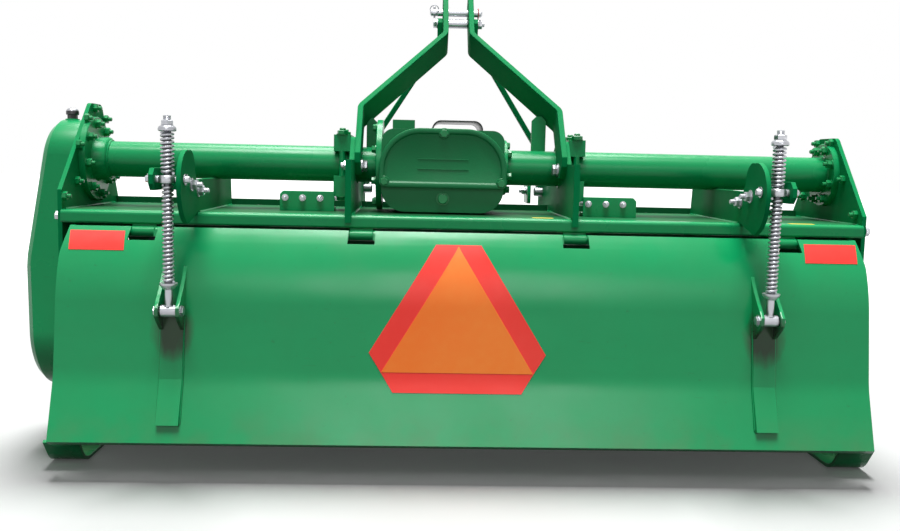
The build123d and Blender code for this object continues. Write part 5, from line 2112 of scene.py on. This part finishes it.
@dataclass
class Rotor:
    """The tined rotor and its bearings: bolts, welds, stub axles and the right-hand bearing."""

    axis_y: float = 0.23
    axis_z: float = 0.265
    hub_count: int = 8
    hub_reach: float = 0.82
    hub_thickness: float = 0.008
    tine_thickness: float = 0.008
    tines_per_side: int = 3
    phase_deg: float = 22.5
    tine_head: Fastener = Fastener(0.019, 0.0075)
    tine_nut: Fastener = Fastener(0.019, 0.01, 0.0125, 0.0016, 0.0058, 0.004)
    tine_bolt_radii: Point2 = (0.072, 0.095)
    tube_radius: float = 0.0445
    hub_bead: WeldBead = WeldBead(0.0032, pitch=0.007, sides=5)
    bearing_bolt: Fastener = Fastener(0.022, 0.011, 0.0155, 0.002)
    bearing_bolt_spread: float = 0.052
    bearing_flange: float = 0.012
    cap_sunk: float = 0.004
    cap: Profile = (
        (0.0, 0.0435), (0.0028, 0.0435), (0.0036, 0.0415), (0.0036, 0.034), (0.0016, 0.031), (0.0016, 0.001),
    )
    nipple_place: Point2 = (0.004, 0.0465)
    nipple_hexagon: Profile = ((0.0, 0.0052), (0.005, 0.0052))
    nipple: Profile = ((0.0, 0.003), (0.0035, 0.0026), (0.005, 0.0036), (0.0075, 0.0026))

    def build(self) -> None:
        """Dresses the rotor and its bearings and adds bolts and welds."""
        dress("rotor_with_tines", Coat.FORGED)
        dress("rotor_bearing_right", Coat.GREEN, 0.002, 3)
        for side in Side:
            dress(f"stub_axle_{side.word}", Coat.MACHINED, 0.001)
        for node in ("rotor_with_tines", "stub_axle_left", "stub_axle_right"):
            smooth_flats(node)
        self._tine_bolts()
        self._hub_welds()
        self._bearing()

    def _hubs(self) -> list[float]:
        """The hubs' places across the machine."""
        return [self.hub_reach * (2.0 * i / (self.hub_count - 1) - 1.0) for i in range(self.hub_count)]

    def _tine_bolts(self) -> None:
        """Bolts every tine to its hub with a head on the tine and a nut behind the hub."""
        shape = Shape()
        step, face = 360.0 / self.tines_per_side, self.hub_thickness / 2
        for index, x in enumerate(self._hubs()):
            middle = at(x, self.axis_y, self.axis_z)
            for way in reversed(WAYS):
                first = index * self.phase_deg + (0.0 if way > 0 else step / 2)
                for count in range(self.tines_per_side):
                    angle = math.radians(first + count * step)
                    out = Vector((0.0, -math.sin(angle), math.cos(angle)))
                    for radius in self.tine_bolt_radii:
                        spot = middle + out * radius
                        head = spot + ACROSS * way * (face + self.tine_thickness)
                        self.tine_head.add(shape, head, ACROSS * way, angle)
                        self.tine_nut.add(shape, spot - ACROSS * way * face, -ACROSS * way, angle)
        shape.finish("tine_bolts", Coat.DARK_BOLT, Body.ROTOR, sharp_deg=FASTENER_DEG, slot=Slot.FORGED)

    def _hub_welds(self) -> None:
        """Runs a weld round the tube on both sides of every hub."""
        shape = Shape()
        for x in self._hubs():
            for way in reversed(WAYS):
                middle = at(x + way * (self.hub_thickness / 2 + 0.0008), self.axis_y, self.axis_z)
                self.hub_bead.add(shape, ring_of(middle, self.tube_radius, 24), True)
        shape.finish("hub_welds", Coat.FORGED, Body.ROTOR)

    def _bearing(self) -> None:
        """Adds the right-hand bearing's bolts, end cap and grease nipple."""
        low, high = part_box("rotor_bearing_right")
        middle = Vector((high.x, (low.y + high.y) / 2, (low.z + high.z) / 2))
        flange_x, spread = low.x + self.bearing_flange, self.bearing_bolt_spread
        rows = []
        for dy in WAYS:
            for dz in WAYS:
                seat = Vector((flange_x, middle.y + dy * spread, middle.z + dz * spread))
                rows.append((self.bearing_bolt, [seat], ACROSS, 0.3 + dy + dz, 0.0))
        fasten("bearing_bolts", Coat.ZINC, *rows)
        cap = Shape()
        cap.lathe(middle - ACROSS * self.cap_sunk, ACROSS, self.cap, 56)
        cap.finish("bearing_cap", Coat.GREEN, sharp_deg=FASTENER_DEG)
        off_x, off_z = self.nipple_place
        seat = Vector(((flange_x + high.x) / 2 + off_x, middle.y, middle.z + off_z))
        nipple = Shape()
        nipple.lathe(seat, UP, self.nipple_hexagon, 6)
        nipple.lathe(seat + UP * self.nipple_hexagon[-1][0], UP, self.nipple, 16)
        nipple.finish("bearing_nipple", Coat.ZINC, sharp_deg=FASTENER_DEG)


@dataclass(frozen=True)
class Sun:
    """A soft sun.

    Its elevation stands over the floor, and its azimuth runs from straight behind the machine towards the
    right. Its spread is the angle that it fills, which softens its shadows.
    """

    name: str
    elevation_deg: float
    azimuth_deg: float
    spread_deg: float
    power: float
    on_floor: bool = False

    def hang(self) -> None:
        """Adds the lamp, and leaves the floor out of its light unless it is meant for it too."""
        data = bpy.data.lights.new(self.name, "SUN")
        data.energy = self.power
        data.angle = math.radians(self.spread_deg)
        lamp = bpy.data.objects.new(self.name, data)
        if not self.on_floor:
            lit = bpy.data.collections.new(f"{self.name} leaves out")
            lit.objects.link(bpy.data.objects[Studio.floor_name])
            lit.collection_objects[0].light_linking.link_state = "EXCLUDE"
            lamp.light_linking.receiver_collection = lit
        rise, bearing = math.radians(self.elevation_deg), math.radians(self.azimuth_deg)
        level = math.cos(rise)
        towards = Vector((math.sin(bearing) * level, -math.cos(bearing) * level, math.sin(rise)))
        lamp.rotation_euler = towards.to_track_quat("Z", "Y").to_euler()
        bpy.context.scene.collection.objects.link(lamp)


@dataclass
class Studio:
    """A plain pale floor and backdrop, soft suns and the camera."""

    floor_name: str = "studio_floor"
    floor_size: float = 60.0
    floor_drop: float = 0.0005
    floor_thickness: float = 0.01
    floor_seen: float = 0.93
    floor_unseen: float = 0.1
    sky_strength: float = 0.17
    clear_from: float = 1.9
    clear_to: float = 4.5
    glow_near: float = 0.04
    glow_far: float = 0.5
    suns: tuple[Sun, ...] = (
        Sun("front sun", 68.0, 180.0, 28.0, 3.1, on_floor=True),
        Sun("rear sun", 79.0, -12.0, 26.0, 4.2),
        Sun("low sun", 25.0, 3.0, 22.0, 0.38),
    )
    camera_place: Point3 = (-0.0898, -2.4343, 0.709)
    camera_yaw: float = 0.039
    camera_pitch: float = 0.108
    camera_roll: float = 0.023
    lens_mm: float = 37.8
    sensor_mm: float = 36.0

    def build(self) -> None:
        """Makes the floor, the world, the lamps and the camera."""
        self._floor()
        self._world()
        for sun in self.suns:
            sun.hang()
        self._camera()
        bpy.context.scene.view_settings.view_transform = "Standard"

    @staticmethod
    def _shown(graph: Graph) -> Socket:
        """Gives 1 for camera, glossy and transmission rays, and 0 for the rest.

        Args:
            graph: The nodes to add it to.

        Returns:
            The value's socket.
        """
        path = graph.add("ShaderNodeLightPath", {}).outputs
        gloss = graph.calc("MAXIMUM", path["Is Camera Ray"], path["Is Glossy Ray"])
        return graph.calc("MAXIMUM", gloss, path["Is Transmission Ray"])

    def _floor(self) -> None:
        """Makes the floor, white to the eye outside the machine's shadow."""
        half = self.floor_size / 2
        shape = Shape()
        corners = [Vector((x * half, y * half, -self.floor_drop)) for x, y in ((-1, -1), (1, -1), (1, 1), (-1, 1))]
        shape.slab(corners, -UP * self.floor_thickness)
        floor = shape.plain(self.floor_name, self._floor_material())

    def _floor_material(self) -> bpy.types.Material:
        """A matt floor that is paler to the camera and that glows to white far from the machine.

        Returns:
            The material.
        """
        material = bpy.data.materials.new("pale floor")
        material.use_nodes = True
        graph = Graph(material.node_tree)
        graph.tree.nodes.remove(graph.tree.nodes["Principled BSDF"])
        shown = self._shown(graph)
        level = graph.remap(shown, 0.0, 1.0, self.floor_unseen, self.floor_seen)
        matt = graph.add("ShaderNodeBsdfDiffuse", {"Color": level})
        place = graph.add("ShaderNodeTexCoord", {})
        distance = graph.tree.nodes.new("ShaderNodeVectorMath")
        distance.operation = "LENGTH"
        graph.feed(distance, {0: place.outputs["Object"]})
        clear = graph.add("ShaderNodeMapRange", {
            "Value": distance.outputs["Value"], "From Min": self.clear_from, "From Max": self.clear_to,
            "To Min": self.glow_near, "To Max": self.glow_far,
        })
        clear.interpolation_type = "SMOOTHSTEP"
        strength = graph.times(clear.outputs["Result"], shown)
        glow = graph.add("ShaderNodeEmission", {"Strength": strength})
        both = graph.add("ShaderNodeAddShader", {0: matt.outputs["BSDF"], 1: glow.outputs["Emission"]})
        graph.feed(graph.tree.nodes["Material Output"], {"Surface": both.outputs["Shader"]})
        return material

    def _world(self) -> None:
        """Lights the scene with an even sky that the camera and gloss see as white."""
        world = bpy.data.worlds.new("studio sky")
        bpy.context.scene.world = world
        world.use_nodes = True
        graph = Graph(world.node_tree)
        strength = graph.remap(self._shown(graph), 0.0, 1.0, self.sky_strength, 1.0)
        graph.feed(graph.tree.nodes["Background"], {"Color": (1.0, 1.0, 1.0, 1.0), "Strength": strength})

    def _camera(self) -> None:
        """Makes the camera behind the machine, a little left of its middle."""
        data = bpy.data.cameras.new("rear camera")
        data.lens = self.lens_mm
        data.sensor_width = self.sensor_mm
        camera = bpy.data.objects.new("rear camera", data)
        bpy.context.scene.collection.objects.link(camera)
        yaw, pitch, roll = self.camera_yaw, self.camera_pitch, self.camera_roll
        forward = Vector((math.sin(yaw) * math.cos(pitch), math.cos(yaw) * math.cos(pitch), -math.sin(pitch)))
        level = Vector((math.cos(yaw), -math.sin(yaw), 0.0))
        rise = level.cross(forward)
        right = level * math.cos(roll) + rise * math.sin(roll)
        up = rise * math.cos(roll) - level * math.sin(roll)
        turned = Matrix((right, up, -forward)).transposed()
        camera.matrix_world = Matrix.Translation(Vector(self.camera_place)) @ turned.to_4x4()
        bpy.context.scene.camera = camera


def main() -> None:
    """Builds the machine's dress and the studio in order."""
    logging.basicConfig(level=logging.INFO, format="%(message)s")
    Hood().build()
    for side in Side:
        CrossTube(side).build()
    SideDrive().build()
    Gearbox().build()
    Headstock().build()
    Rotor().build()
    board = Tailboard()
    board.build()
    Emblem().build(board)
    for side in Side:
        SpringRodSet(side).build()
    Studio().build()


if __name__ == "__main__":
    main()
